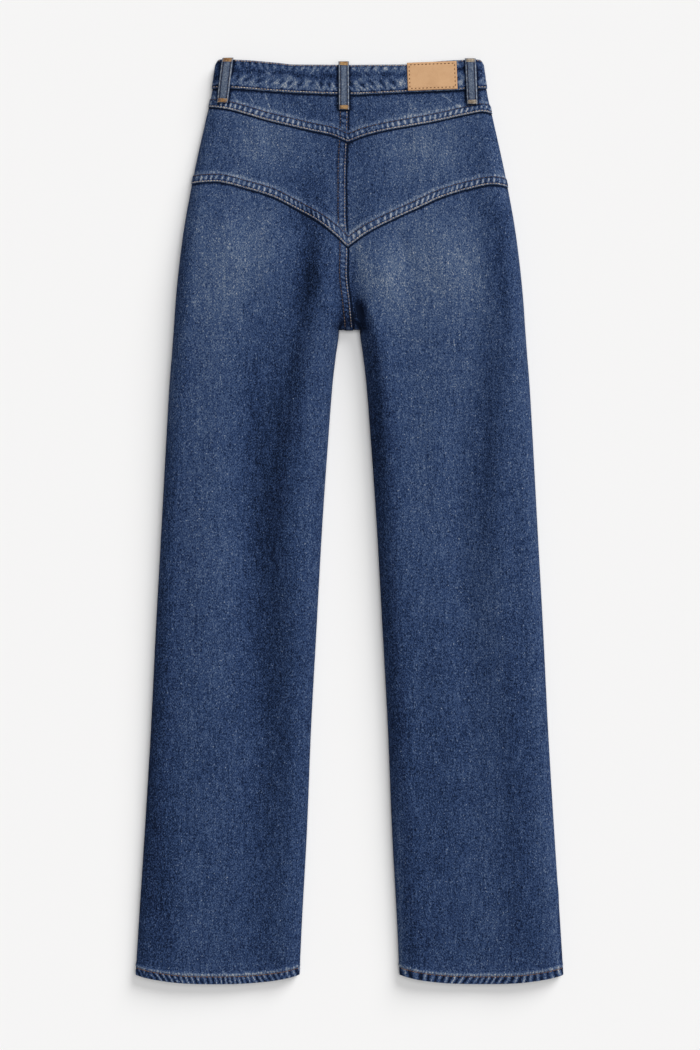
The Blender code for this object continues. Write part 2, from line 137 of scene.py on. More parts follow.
Outline = namedtuple("Outline", "down outer inner")
OUTLINE = (
    Outline(0, 158.0, CROTCH_HALF),
    Outline(43, 164.8, CROTCH_HALF),
    Outline(72, 171.4, CROTCH_HALF),
    Outline(143, 186.8, CROTCH_HALF),
    Outline(215, 199.3, CROTCH_HALF),
    Outline(286, 207.1, CROTCH_HALF),
    Outline(322, 209.6, CROTCH_HALF),
    Outline(352, 211.8, 16.1),
    Outline(381, 214.2, 19.6),
    Outline(441, 217.8, 24.4),
    Outline(560, 224.3, 32.7),
    Outline(679, 230.9, 39.3),
    Outline(798, 236.8, 45.8),
    Outline(917, 244.0, 50.6),
    Outline(1036, 251.7, 57.1),
    Outline(LENGTH, 255.8, 60.0),
)
Height = namedtuple("Height", "down crest seam")
HEIGHTS = (
    Height(-10, 14.0, 6.0),
    Height(40, 14.5, 6.0),
    Height(100, 17.5, 6.5),
    Height(180, 22.5, 7.5),
    Height(260, 26.0, 8.0),
    Height(340, 25.5, 8.0),
    Height(450, 24.0, 8.0),
    Height(600, 22.0, 7.5),
    Height(800, 19.5, 7.0),
    Height(1000, 16.5, 6.5),
    Height(LENGTH + 10, 14.0, 6.0),
)
# Ridges and troughs that run down the garment
FOLD_DOWN = (150, 240, 320, 430, 570, 740, 900, 1100)
Fold = namedtuple("Fold", "name half_width across lift")
FOLDS = (
    Fold("left ridge", 30, (-136, -158, -164, -169, -175, -182, -190, -196), (1, 3, 2, 2, 2, 2, 2, 1)),
    Fold("left trough", 27, (-50, -59, -80, -106, -116, -109, -106, -104), (0, -4, -7, -8, -9, -7, -4, -2)),
    Fold("left inner ridge", 20, (-22, -27, -38, -59, -69, -67, -70, -76), (1, 2, 3, 3, 3, 3, 2, 1)),
    Fold("seat valley", 17, (-3, -3, 1, 2, 2, 2, 2, 2), (-1, -5, -8, 0, 0, 0, 0, 0)),
    Fold("right inner ridge", 22, (30, 34, 34, 48, 58, 63, 74, 82), (1, 2, 4, 4, 3, 2, 2, 1)),
    Fold("right trough", 24, (140, 152, 152, 139, 131, 140, 146, 150), (-1, -3, -4, -6, -7, -4, -2, -1)),
    Fold("right outer ridge", 18, (172, 183, 190, 184, 180, 190, 200, 206), (1, 2, 3, 3, 3, 3, 2, 1)),
)
Point = namedtuple("Point", "across down")
UPPER_YOKE_SEAM = (
    Point(-172, 56.4),
    Point(-150, 59.3),
    Point(-98, 73.4),
    Point(-47, 85.7),
    Point(-21, 91.5),
    Point(-3.2, 99.1),
    Point(-2.1, 99.6),
    Point(-1, 99.2),
    Point(18, 92.0),
    Point(43, 85.8),
    Point(98, 75.6),
    Point(146, 65.0),
    Point(158, 63.0),
    Point(172, 65.2),
)
LOWER_YOKE_SEAM = (
    Point(-190, 148.9),
    Point(-161, 147.3),
    Point(-120, 156.2),
    Point(-92, 164.8),
    Point(-65, 178.5),
    Point(-37, 194.5),
    Point(-14, 213.0),
    Point(-3.2, 223.6),
    Point(-2.1, 224.4),
    Point(-1, 223.6),
    Point(19, 209.4),
    Point(49, 193.5),
    Point(80, 179.1),
    Point(110, 165.4),
    Point(140, 156.2),
    Point(171, 150.5),
    Point(190, 153.0),
)
WAIST_SEAM = (
    Point(-168, 34.6),
    Point(-141, 35.3),
    Point(-98, 38.2),
    Point(-60, 40.8),
    Point(0, 42.6),
    Point(70, 39.7),
    Point(129, 37.0),
    Point(168, 34.2),
)
CENTRE_SEAM = (
    Point(-1.5, 0),
    Point(-1.5, 67),
    Point(-4.2, 143),
    Point(-4.2, 185),
    Point(-2.0, 224),
    Point(-2.6, 255),
    Point(1.0, 289),
    Point(4.5, 322),
)
HEM_DOWN = 1090.5
HEM_SAG = 10.5
HEM_SAG_POWER = 2.6


def smooth_curve(at, values):
    """A function through the given values that never overshoots them."""
    at = np.asarray(at, float)
    values = np.asarray(values, float)
    step = np.diff(at)
    rise = np.diff(values) / step
    slope = np.concatenate([rise[:1], (rise[:-1] + rise[1:]) / 2, rise[-1:]])
    for i, (before, after) in enumerate(zip(rise[:-1], rise[1:]), 1):
        slope[i] = 0 if before * after <= 0 else 2 * before * after / (before + after)

    def read(place):
        place = np.clip(place, at[0], at[-1])
        k = np.clip(np.searchsorted(at, place) - 1, 0, len(step) - 1)
        t = (place - at[k]) / step[k]
        bend = (slope[k] - rise[k]) * (1 - t) - (slope[k + 1] - rise[k]) * t
        return values[k] + (rise[k] * t + bend * t * (1 - t)) * step[k]

    return read


def from_table(rows, at, value):
    return smooth_curve([getattr(row, at) for row in rows], [getattr(row, value) for row in rows])


outer_half = from_table(OUTLINE, "down", "outer")
inner_half = from_table(OUTLINE, "down", "inner")
crest_height = from_table(HEIGHTS, "down", "crest")
seam_height = from_table(HEIGHTS, "down", "seam")
waist_seam = from_table(WAIST_SEAM, "across", "down")
upper_yoke_seam = from_table(UPPER_YOKE_SEAM, "across", "down")
lower_yoke_seam = from_table(LOWER_YOKE_SEAM, "across", "down")
centre_seam = from_table(CENTRE_SEAM, "down", "across")
fold_lines = [
    (smooth_curve(FOLD_DOWN, fold.across), smooth_curve(FOLD_DOWN, fold.lift), fold.half_width)
    for fold in FOLDS
]


def roll(distance, radius):
    """How far the cloth has come up, from 0 at its edge to 1 where the roll ends."""
    left = np.clip(1 - distance / radius, 0, 1)
    return np.sqrt(1 - left**2)


def from_inseam(across, down):
    """The distance from the gap between the legs, round the corners of the crotch."""
    half = inner_half(np.maximum(down, CROTCH_DOWN)) - CROTCH_CORNER
    sideways = np.maximum(np.abs(across) - half, 0)
    upwards = np.maximum(CROTCH_DOWN + CROTCH_CORNER - down, 0)
    return np.hypot(sideways, upwards) - CROTCH_CORNER


def from_side(across, down):
    return outer_half(down) - np.abs(across)


def hem(across):
    middle = (outer_half(HEM_DOWN) + inner_half(HEM_DOWN)) / 2
    half = (outer_half(HEM_DOWN) - inner_half(HEM_DOWN)) / 2
    share = np.clip(np.abs(np.abs(across) - middle) / half, 0, 1)
    return HEM_DOWN + HEM_SAG * (1 - share**HEM_SAG_POWER)


# The smaller creases: where each starts and ends, as across and down, its half width and how far it lifts
# the cloth. They are as uneven as on a washed pair that has been smoothed out by hand.
Crease = namedtuple("Crease", "start end half_width lift")
CREASES = (
    Crease((-122, 52), (-104, 120), 7, 0.7),
    Crease((-92, 60), (-99, 135), 6, -0.6),
    Crease((-60, 80), (-70, 150), 9, 0.6),
    Crease((84, 62), (78, 140), 8, 0.7),
    Crease((112, 80), (124, 140), 7, -0.6),
    Crease((44, 96), (50, 170), 9, 0.6),
    Crease((58, 205), (74, 262), 9, -1.3),
    Crease((36, 240), (62, 300), 10, 1.2),
    Crease((98, 190), (120, 280), 14, 1.3),
    Crease((-150, 175), (-128, 262), 13, 1.1),
    Crease((-84, 200), (-104, 285), 12, 1.2),
    Crease((-40, 232), (-30, 300), 7, 0.9),
    Crease((-44, 205), (-62, 330), 9, -1.8),
    Crease((-64, 330), (-90, 480), 10, -1.8),
    Crease((-92, 500), (-92, 700), 11, -1.2),
    Crease((8, 284), (24, 322), 6, -3.0),
    Crease((18, 292), (36, 335), 6, 1.6),
    Crease((30, 345), (36, 520), 6, -1.4),
    Crease((176, 190), (184, 330), 8, -1.2),
    Crease((162, 400), (152, 600), 10, -1.2),
    Crease((30, 330), (120, 352), 10, -0.6),
    Crease((-30, 345), (-120, 372), 9, -0.6),
    Crease((96, 380), (108, 560), 12, 0.9),
    Crease((-150, 330), (-158, 520), 12, 0.8),
    Crease((-200, 560), (-190, 700), 9, -0.6),
    Crease((-130, 590), (-96, 640), 11, -0.6),
    Crease((88, 610), (150, 655), 12, -0.6),
    Crease((170, 560), (205, 640), 9, 0.6),
    Crease((-86, 700), (-140, 745), 12, 0.5),
    Crease((110, 690), (122, 860), 14, 0.7),
    Crease((-160, 760), (-168, 960), 14, 0.7),
    Crease((180, 800), (186, 960), 11, -0.5),
    Crease((84, 850), (92, 1000), 9, -0.5),
    Crease((-220, 820), (-226, 990), 8, 0.5),
    Crease((-120, 930), (-126, 1060), 12, -0.5),
    Crease((150, 960), (156, 1075), 12, 0.6),
)


def bump_at(value, middle, half_width):
    """1 at the middle, falling off smoothly to both sides."""
    return np.exp(-(((value - middle) / half_width) ** 2))


def on_stroke(across, down, start, end, half_width, full, fading):
    """1 along a straight stroke, falling off to both sides and towards its ends. full and fading are shares
    of its length: how far from its middle it keeps its strength, and over how much it then fades."""
    along = np.array(end, float) - start
    length = np.hypot(*along)
    t = ((across - start[0]) * along[0] + (down - start[1]) * along[1]) / length**2
    off = ((across - start[0]) * along[1] - (down - start[1]) * along[0]) / length
    return bump_at(np.maximum(np.abs(t - 0.5) - full, 0), 0, fading) * bump_at(off, 0, half_width)


def crease_lift(across, down):
    total = 0
    for crease in CREASES:
        stroke = on_stroke(across, down, crease.start, crease.end, crease.half_width, 0.3, 0.16)
        total = total + crease.lift * stroke
    return total


def unevenness(across, down):
    """The cloth's own slight cockle, from a few waves that never line up."""
    sideways = np.sin(across / 9.1 + 1.7 * np.sin(down / 31.0))
    downwards = np.sin(down / 24.0 + 0.9 * np.sin(across / 14.0))
    slanting = np.sin(across / 5.3 + down / 17.0 + 1.3) * np.sin(down / 12.7 - across / 23.0)
    return 0.16 * sideways * downwards + 0.07 * slanting


def back_height(across, down):
    """The height of the cloth's outer face on the garment's back, in millimetres."""
    crest = crest_height(down) + crease_lift(across, down) + unevenness(across, down)
    for line, lift, half_width in fold_lines:
        crest = crest + lift(down) * bump_at(across, line(down), half_width)
    below = np.clip((down - CROTCH_DOWN) / ROLL_INNER, 0, 1)
    inner_roll = ROLL_CROTCH + (ROLL_INNER - ROLL_CROTCH) * below
    rolled = roll(from_side(across, down), ROLL_OUTER) * roll(from_inseam(across, down), inner_roll)
    return seam_height(down) + (crest - seam_height(down)) * rolled


def steepness(seam, across):
    """The cosine of a seam's slope. At a point of the seam, the steeper side counts."""
    before = (seam(across) - seam(across - 6)) / 6
    after = (seam(across + 6) - seam(across)) / 6
    return 1 / np.sqrt(1 + np.maximum(before**2, after**2))


def above(seam, across, down):
    """How far above a seam a place lies, square to the seam."""
    return (seam(across) - down) * steepness(seam, across)


# Sewing draws the cloth into short pads between two rows of stitches. A pitch is from pad to pad or from
# tick to tick, and a row's own number is how far it lies from the edge of its seam.
PAD_PITCH = 6.2
LEFT_HEM_PITCH = 6.4
RIGHT_HEM_PITCH = 8.6
TICK_PITCH = 3.9
BLUSH_PITCH = 4.3
BAND_PITCH = 12.8
BAND_TOP_PITCH = 8.4
FELL_ROWS = (1.7, 9.5)
HEM_ROW = 8.7
BAND_ROWS = (1.3, 1.8)


def pads(along, away, pitch, lean=0.0):
    """From -1 in a gap to 1 on a pad. The pads wander, lean and differ in size along the seam."""
    drift = 0.30 * np.sin(along / 23.0) + 0.16 * np.sin(along / 9.7 + 2.0)
    lean = lean + 0.07 * np.sin(along / 41.0 + 1.0)
    size = 0.84 + 0.16 * np.sin(along / 7.9 + 1.0) * np.sin(along / 31.0 + 0.4)
    return size * np.cos(2 * math.pi * (along / pitch + drift + lean * away))


def inside_fell(away):
    """1 on a felled seam's band and 0 off it, with a soft step at both edges."""
    return np.clip(away / 0.5, 0, 1) * np.clip((FELL_WIDTH - away) / 1.2, 0, 1)


def fell_relief(away, along):
    """The height of a flat-felled seam: a raised band with a dip along both of its rows of stitches."""
    rows = bump_at(away, FELL_ROWS[0], 0.7) + bump_at(away, FELL_ROWS[1], 0.8)
    drawn = pads(along, away, PAD_PITCH) * bump_at(away, 5.6, 3.4)
    return inside_fell(away) * (FELL_LIFT + 0.34 * drawn - 0.3 * rows)


def fell_wash_and_shadow(away, along):
    """How much paler a felled seam is: worn white on its edge and pads, dark in its gaps, painted shadow
    beneath.
    """
    pad = pads(along, away, PAD_PITCH)
    middle = np.exp(-(((away - 5.4) / 3.0) ** 4))
    worn = 0.76 * np.maximum(pad, 0) ** 1.6 - 0.18 * np.maximum(-pad, 0)
    on_band = inside_fell(away) * (middle * worn + 0.05)
    edge = 0.5 * bump_at(away, 0.7, 0.8) * (away > -0.1) * (0.8 + 0.2 * np.sin(along * 1.3))
    row = 0.3 * bump_at(away, 3.0, 0.7) + 0.3 * bump_at(away, 9.2, 1.0)
    # A painted shadow on the cloth just beneath the band's edge
    painted_shadow_below = 0.8 * bump_at(away, -0.7, 1.0) * (away < 0.25)
    return on_band + edge - row - painted_shadow_below


def blush(away, along):
    """Cloth drawn up and rubbed pale just above a yoke seam, in short uneven streaks."""
    streak = 0.5 + 0.5 * np.sin(2 * math.pi * along / BLUSH_PITCH + 2.6 * np.sin(along / 11.0))
    size = 0.6 + 0.4 * np.sin(along / 17.0 + 1.0) * np.sin(along / 6.1)
    return bump_at(away, 11.8, 2.3) * (0.16 + 0.34 * size * streak**2) * (away > 9.5)


def centre_wash_and_shadow(away, along):
    """The centre seam lies lower than the yoke seams and is worn less, least of all towards the crotch."""
    less = 0.42 + 0.2 * np.clip((along - 230) / 90, 0, 1)
    pad = np.maximum(pads(along, away, PAD_PITCH), 0) * bump_at(away, 5.4, 3.2)
    edge = 0.5 * less * bump_at(away, 0.7, 0.8)
    # The felled seam's painted shadow beneath its edge comes with it
    return fell_wash_and_shadow(away, along) - less * 0.8 * pad - edge


def on_fell(away):
    return (away > -1.5) & (away < FELL_WIDTH + 1)


def sewn(across, down, felled, felled_centre, otherwise):
    """The felled seams' effect at each place: the yoke seams lie over the centre seam."""
    upper = above(upper_yoke_seam, across, down)
    lower = above(lower_yoke_seam, across, down)
    centre = centre_seam(down) - across
    off_yokes = ~on_fell(upper) & ~on_fell(lower) & (down > waist_seam(across))
    on_centre = np.where(off_yokes, felled_centre(centre, down), 0)
    return felled(upper, across) + felled(lower, across + 40) + on_centre + otherwise


def hem_rope(across, hem_up):
    """The hems' pads, which lean on the inner half of the left leg and are wider on the right one."""
    left = pads(across, hem_up, LEFT_HEM_PITCH, 0.13 * bump_at(across, -100, 42) + 0.03)
    right = pads(across, hem_up, RIGHT_HEM_PITCH, -0.01)
    return np.where(across < 0, left, right)


def relief(across, down):
    """What the sewing adds over the cloth's own height: the felled seams and the turned hem."""
    hem_up = hem(across) - down
    rope = hem_rope(across, hem_up) * np.clip((HEM_WIDTH - hem_up) / 2.0, 0, 1)
    ridge = 0.5 * bump_at(hem_up, 11.5, 2.2) * (1 + 0.5 * pads(across, hem_up, TICK_PITCH))
    foot = np.where(hem_up < 25, 0.36 * rope + ridge - 0.4 * bump_at(hem_up, HEM_ROW, 0.8), 0)
    seam = 0.5 * bump_at(from_side(across, down), side_seam_inset(down), 1.6) * (across > 0)
    return sewn(across, down, fell_relief, fell_relief, foot + seam)


def side_seam_inset(down):
    """The right side seam turns onto the back near the hem."""
    return -12 + 17 * np.clip((down - 930) / 90, 0, 1)


PIXEL = 1.19
CENTRE_PIXEL = 349.5
WAIST_PIXEL = 59.5


def from_pixels(x, y):
    """Across and down, in millimetres, of a place in the photograph."""
    return (x - CENTRE_PIXEL) * PIXEL, (y - WAIST_PIXEL) * PIXEL


# Paler patches faded by the washing, some also painted light on lit slopes, and darker ones of painted
# shade
# about the crotch and the centre seam: the middle of each patch in the photograph's pixels, its half width
# and half height in millimetres, and how much paler it is
Fade = namedtuple("Fade", "x y half_width half_height paler")
FADES_AND_SHADE = (
    Fade(232, 268, 52, 78, 0.17),
    Fade(262, 230, 46, 50, 0.06),
    Fade(425, 262, 56, 66, 0.17),
    Fade(386, 285, 34, 44, 0.12),
    Fade(262, 140, 44, 34, 0.18),
    Fade(424, 150, 52, 38, 0.18),
    Fade(215, 400, 36, 120, 0.04),
    Fade(430, 430, 44, 150, 0.04),
    Fade(464, 262, 30, 60, 0.07),
    Fade(478, 360, 26, 80, 0.04),
    Fade(352, 245, 16, 36, 0.10),
    Fade(425, 108, 42, 16, 0.08),
    Fade(225, 108, 34, 14, 0.05),
    Fade(344, 313, 15, 20, -0.18),
    Fade(357, 318, 9, 14, -0.10),
    Fade(345, 325, 16, 5.5, -0.12),
    Fade(351, 317, 15, 4.5, -0.12),
    Fade(362, 312, 5.5, 9, -0.26),
    Fade(364, 272, 9, 36, 0.07),
    Fade(471, 270, 16, 28, 0.06),
    Fade(428, 215, 14, 18, 0.06),
    Fade(287, 222, 9, 14, -0.07),
    Fade(498, 200, 9, 15, 0.06),
    Fade(190, 155, 10, 22, -0.05),
    Fade(418, 952, 16, 24, -0.06),
    Fade(340, 280, 9, 22, -0.13),
    Fade(358, 272, 9, 26, 0.08),
    Fade(270, 382, 10, 34, 0.06),
    Fade(500, 175, 12, 24, 0.07),
    Fade(224, 570, 28, 150, 0.05),
    Fade(167, 350, 8, 52, 0.09),
    Fade(486, 590, 22, 120, 0.05),
    Fade(455, 118, 42, 15, 0.06),
    Fade(345, 140, 18, 16, -0.07),
)
# Painted shade on the flanks turned from the light and painted light on lit flanks, along long folds, as
# strokes between two places in the photograph's pixels
Stroke = namedtuple("Stroke", "x_start y_start x_end y_end half_width paler")
FOLD_SHADING_STROKES = (
    Stroke(315, 200, 312, 300, 15, -0.10),
    Stroke(312, 260, 284, 420, 15, -0.14),
    Stroke(286, 400, 270, 560, 13, -0.09),
    Stroke(254, 380, 254, 560, 14, -0.04),
    Stroke(184, 200, 163, 420, 12, -0.08),
    Stroke(164, 400, 146, 760, 11, -0.07),
    Stroke(146, 740, 140, 975, 9, -0.06),
    Stroke(353, 250, 358, 315, 7, -0.16),
    Stroke(357, 303, 366, 333, 4, -0.46),
    Stroke(372, 330, 376, 480, 10, -0.22),
    Stroke(376, 460, 388, 640, 10, -0.14),
    Stroke(390, 620, 402, 960, 8, -0.08),
    Stroke(496, 190, 505, 330, 14, -0.10),
    Stroke(494, 330, 482, 560, 16, -0.09),
    Stroke(480, 540, 486, 700, 16, -0.03),
    Stroke(528, 330, 545, 960, 9, 0.04),
    Stroke(310, 380, 306, 640, 9, 0.03),
    Stroke(408, 228, 414, 292, 7, -0.05),
    Stroke(264, 300, 272, 790, 33, -0.13),
    Stroke(270, 760, 258, 980, 26, -0.06),
    Stroke(182, 330, 160, 640, 13, -0.07),
    Stroke(152, 600, 149, 980, 17, -0.11),
    Stroke(383, 380, 393, 600, 10, -0.08),
    Stroke(397, 590, 410, 985, 15, -0.09),
    Stroke(436, 620, 440, 985, 30, -0.04),
    Stroke(509, 590, 522, 985, 20, -0.07),
    Stroke(306, 190, 306, 320, 15, -0.09),
    Stroke(294, 180, 326, 190, 12, -0.06),
    Stroke(186, 240, 184, 330, 9, -0.06),
    Stroke(161, 620, 158, 980, 11, -0.06),
    Stroke(397, 780, 401, 985, 6, 0.13),
    Stroke(301, 366, 299, 470, 8, -0.09),
    Stroke(287, 345, 286, 425, 7, 0.07),
    Stroke(174, 345, 171, 430, 7, 0.09),
    Stroke(160, 500, 155, 720, 6, 0.06),
    Stroke(175, 560, 172, 980, 9, -0.04),
    Stroke(389, 392, 399, 470, 9, -0.06),
    Stroke(385, 495, 389, 610, 6, 0.06),
    Stroke(497, 585, 497, 690, 9, 0.05),
    Stroke(399, 815, 401, 985, 5, 0.07),
    Stroke(168, 830, 165, 970, 9, -0.05),
    Stroke(550, 800, 557, 985, 7, 0.06),
)
# Thin white lines where the cloth was creased as it was washed
WHISKERS = (
    Stroke(262, 69, 272, 76, 0.9, 0.30),
    Stroke(288, 76, 294, 81, 0.9, 0.26),
    Stroke(318, 74, 320, 83, 0.9, 0.22),
    Stroke(351, 68, 367, 77, 0.9, 0.24),
    Stroke(373, 67, 382, 77, 0.9, 0.24),
    Stroke(383, 68, 392, 73, 0.9, 0.22),
    Stroke(232, 93, 238, 103, 1.0, 0.26),
    Stroke(247, 93, 254, 104, 0.9, 0.30),
    Stroke(265, 95, 271, 111, 0.9, 0.30),
    Stroke(334, 96, 331, 105, 0.9, 0.24),
    Stroke(405, 99, 412, 107, 0.9, 0.20),
    Stroke(441, 94, 452, 102, 0.9, 0.28),
    Stroke(453, 103, 462, 108, 0.9, 0.22),
    Stroke(300, 98, 311, 106, 0.9, 0.16),
    Stroke(218, 965, 228, 978, 0.9, 0.22),
    Stroke(232, 974, 242, 985, 0.9, 0.30),
    Stroke(247, 973, 254, 983, 0.9, 0.30),
    Stroke(259, 972, 267, 983, 0.9, 0.26),
    Stroke(285, 971, 290, 980, 0.9, 0.24),
)


def stroke_wash_and_shade(strokes, across, down, softness):
    total = 0
    for stroke in strokes:
        start = from_pixels(stroke.x_start, stroke.y_start)
        end = from_pixels(stroke.x_end, stroke.y_end)
        shape = on_stroke(across, down, start, end, stroke.half_width, 0.5 - softness, softness)
        total = total + stroke.paler * shape
    return total


def crotch_arch_shade(across, down):
    """Painted shade in the dark, sharp fold over the crotch, where four thick seams meet."""
    ring = np.hypot((across - 0.6) / 12.2, (CROTCH_DOWN - down) / 11.0)
    return 0.46 * bump_at(ring, 1.0, 0.13)


base_wash = smooth_curve((0, 150, 330, 500, 700, 1100), (0.39, 0.40, 0.42, 0.40, 0.385, 0.37))


def wash(across, down):
    """How pale the cloth is painted, from 0, as deep as the dye comes, to 1, bleached. Besides the faded
    dye it holds painted shade in the folds, over the crotch and under the seams and waistband, and painted
    light on lit slopes.
    """
    pale = base_wash(down)
    # Faded patches, and patches of painted shade about the crotch and the centre seam
    for fade_and_shade in FADES_AND_SHADE:
        middle = from_pixels(fade_and_shade.x, fade_and_shade.y)
        sideways = bump_at(across, middle[0], fade_and_shade.half_width)
        pale = pale + fade_and_shade.paler * sideways * bump_at(down, middle[1], fade_and_shade.half_height)
    # Painted shade and light along the folds, then the white whiskers worn in by washing
    pale = pale + stroke_wash_and_shade(FOLD_SHADING_STROKES, across, down, 0.22) + stroke_wash_and_shade(WHISKERS, across, down, 0.1)
    hem_up = hem(across) - down
    rope = hem_rope(across, hem_up)
    turned = 0.62 * np.maximum(rope, 0) ** 2 - 0.42 * np.maximum(-rope, 0)
    ticks = 0.5 + 0.5 * np.sin(2 * math.pi * across / TICK_PITCH + 2.0 * np.sin(across / 17.0))
    foot = np.where(hem_up < HEM_ROW, turned, 0) + bump_at(hem_up, 11.0, 1.8) * (0.22 + 0.42 * ticks)
    side = bump_at(from_side(across, down), side_seam_inset(down), 1.4) * (across > 0)
    outside = np.clip(side_seam_inset(down) - from_side(across, down), 0, 1) * (across > 0)
    # A painted shadow on the yoke just below the waistband's foot
    painted_shadow_below = 0.5 * bump_at(down - waist_seam(across), 1.0, 1.6)
    for seam in (upper_yoke_seam, lower_yoke_seam):
        pale = pale + blush(above(seam, across, down), across)
    # Painted shade over the crotch is taken off here, with the painted shadow below the waistband
    pale = pale + foot + 0.07 * side - 0.10 * outside - painted_shadow_below - crotch_arch_shade(across, down)
    return sewn(across, down, fell_wash_and_shadow, centre_wash_and_shadow, pale)


class Maths:
    """A socket's value in a sum. An operator on it adds the Math node that works it out."""

    def __init__(self, tree, socket):
        self.tree = tree
        self.socket = socket

    def combine(self, operation, other, swapped=False):
        sides = [self.socket, other.socket if isinstance(other, Maths) else other]
        if swapped:
            sides.reverse()
        return node(self.tree, "ShaderNodeMath", {"operation": operation}, dict(enumerate(sides)))

    def __add__(self, other):
        return self.combine("ADD", other)

    def __sub__(self, other):
        return self.combine("SUBTRACT", other)

    def __rsub__(self, other):
        return self.combine("SUBTRACT", other, True)

    def __mul__(self, other):
        return self.combine("MULTIPLY", other)

    __radd__ = __add__
    __rmul__ = __mul__

    def over(self, floor):
        """What the value has above a floor, and otherwise nothing."""
        return (self - floor).combine("MAXIMUM", 0.0)


def node(tree, kind, settings=None, inputs=None, output=0):
    """Add a shader node. A colour ramp's stops are given as its setting named stops."""
    made = tree.nodes.new(kind)
    for key, value in (settings or {}).items():
        if key == "stops":
            ramp = made.color_ramp
            while len(ramp.elements) < len(value):
                ramp.elements.new(0.5)
            for element, (place, colour) in zip(ramp.elements, value):
                element.position = place
                element.color = (*colour, 1)
        else:
            setattr(made, key, value)
    for key, value in (inputs or {}).items():
        value = value.socket if isinstance(value, Maths) else value
        if isinstance(value, bpy.types.NodeSocket):
            tree.links.new(value, made.inputs[key])
        else:
            made.inputs[key].default_value = value
    return Maths(tree, made.outputs[output])


def noise(tree, place, scale, detail=2.0, roughness=0.5):
    inputs = {"Vector": place, "Scale": scale, "Detail": detail, "Roughness": roughness}
    return node(tree, "ShaderNodeTexNoise", {}, inputs)


def stretched(tree, place, along):
    """The place with its pattern drawn out down the cloth, along times as long."""
    return node(tree, "ShaderNodeMapping", {}, {0: place, 3: (1.0, 1.0 / along, 1.0)})


def colour_by(tree, shader, tone, stops):
    """Colour the material along a ramp."""
    colour = node(tree, "ShaderNodeValToRGB", {"stops": stops}, {0: tone})
    tree.links.new(colour.socket, shader.inputs["Base Color"])


def emboss(tree, shader, raised, strength, distance):
    """Give the material a fine relief that catches the light."""
    bump = node(tree, "ShaderNodeBump", {}, {"Height": raised, "Strength": strength, "Distance": distance})
    tree.links.new(bump.socket, shader.inputs["Normal"])


# Denim is woven from indigo warp, whose core stays white, and undyed weft. Rubbed places show the core.
INDIGO = (
    (0.0, (0.0038, 0.0075, 0.020)),
    (0.2, (0.0100, 0.0205, 0.056)),
    (0.4, (0.0270, 0.0530, 0.136)),
    (0.6, (0.0625, 0.0995, 0.187)),
    (0.8, (0.142, 0.185, 0.258)),
    (1.0, (0.35, 0.37, 0.41)),
)
TWILL_PITCH = 0.0016


def denim(name, shift=0.0, dye=INDIGO, grain=1.0):
    """Washed indigo twill. shift makes the whole piece paler, and grain is how much its yarns differ."""
    material, tree, shader = new_material(name, 0.9, 0.03)
    shader.inputs["Sheen Weight"].default_value = 0.008
    shader.inputs["Sheen Roughness"].default_value = 0.5
    place = node(tree, "ShaderNodeTexCoord", output=3)
    on_cloth = node(tree, "ShaderNodeUVMap")
    # The attribute holds the cloth's tone: its faded dye together with painted shade and light
    pale = node(tree, "ShaderNodeAttribute", {"attribute_name": "wash"}, output=2)
    warp = noise(tree, stretched(tree, place, 1.8), 900.0, 3.0, 0.75)
    slub = noise(tree, stretched(tree, place, 8.0), 360.0)
    flecks = noise(tree, stretched(tree, place, 1.5), 820.0, 1.0)
    mottle = noise(tree, place, 30.0)
    curl = noise(tree, stretched(tree, place, 1.3), 330.0, 1.0) - 0.5
    crinkle = (1.0 - 150.0 * curl * curl).over(0.0)
    diagonal = node(tree, "ShaderNodeMapping", {}, {0: on_cloth, 2: (0.0, 0.0, math.radians(63))})
    bands = {"Vector": diagonal, "Scale": 1 / TWILL_PITCH / 3.1416, "Distortion": 0.6, "Detail": 1.0}
    weave = node(tree, "ShaderNodeTexWave", {"wave_type": "BANDS", "bands_direction": "X"}, bands, 1)
    yarns = 1.8 * (warp - 0.5) + 0.36 * (slub - 0.5) + 2.1 * flecks.over(0.6) + 0.14 * crinkle - 0.086
    tone = pale + shift + grain * yarns + 0.12 * (mottle - 0.5) + 0.05 * (weave - 0.5)
    colour_by(tree, shader, tone, dye)
    emboss(tree, shader, 0.4 * weave + 0.9 * warp + 0.5 * flecks + 0.3 * crinkle, 0.6, 0.0006)
    return material


def straight(at):
    """A line of the grid that stays at one place."""
    return lambda place: at + 0 * place


def moved(line, by):
    return lambda place: line(place) + by


def side_edge(side):
    return lambda down: side * outer_half(down)


def inner_line(side):
    """The inseam, and the line of the grid that goes on above it to the waist."""
    return lambda down: side * (inner_half(down) + INNER_LINE_SPREAD * np.maximum(CROTCH_DOWN - down, 0))


def between(lines, place):
    first = np.clip(np.floor(place).astype(int), 0, len(lines) - 2)
    low = np.take_along_axis(lines, first[None], 0)[0]
    high = np.take_along_axis(lines, first[None] + 1, 0)[0]
    return low + (high - low) * (place - first)


def locate(columns, rows, uprights, levels):
    """Across and down where each column crosses each row. Column 1.5 lies halfway from upright 1 to 2."""
    column, row = np.meshgrid(columns, rows, indexing="ij")
    down = np.interp(row, range(len(levels)), [float(level(0.0)) for level in levels])
    for _ in range(SETTLING_ROUNDS):
        lines = np.stack([upright(down) + 0 * down for upright in uprights])
        across = between(lines, column)
        down = between(np.stack([level(across) + 0 * down for level in levels]), row)
    return across, down


def outward(height, across, down, facing):
    """Unit normals of a face, from its slopes. They point away from the inside of the garment."""
    slope_x = (height(across + NEAR, down) - height(across - NEAR, down)) / (2 * NEAR)
    slope_y = (height(across, down - NEAR) - height(across, down + NEAR)) / (2 * NEAR)
    normal = np.stack([-slope_x, -slope_y, np.ones_like(slope_x)], axis=-1) * facing
    return normal / np.linalg.norm(normal, axis=-1, keepdims=True)


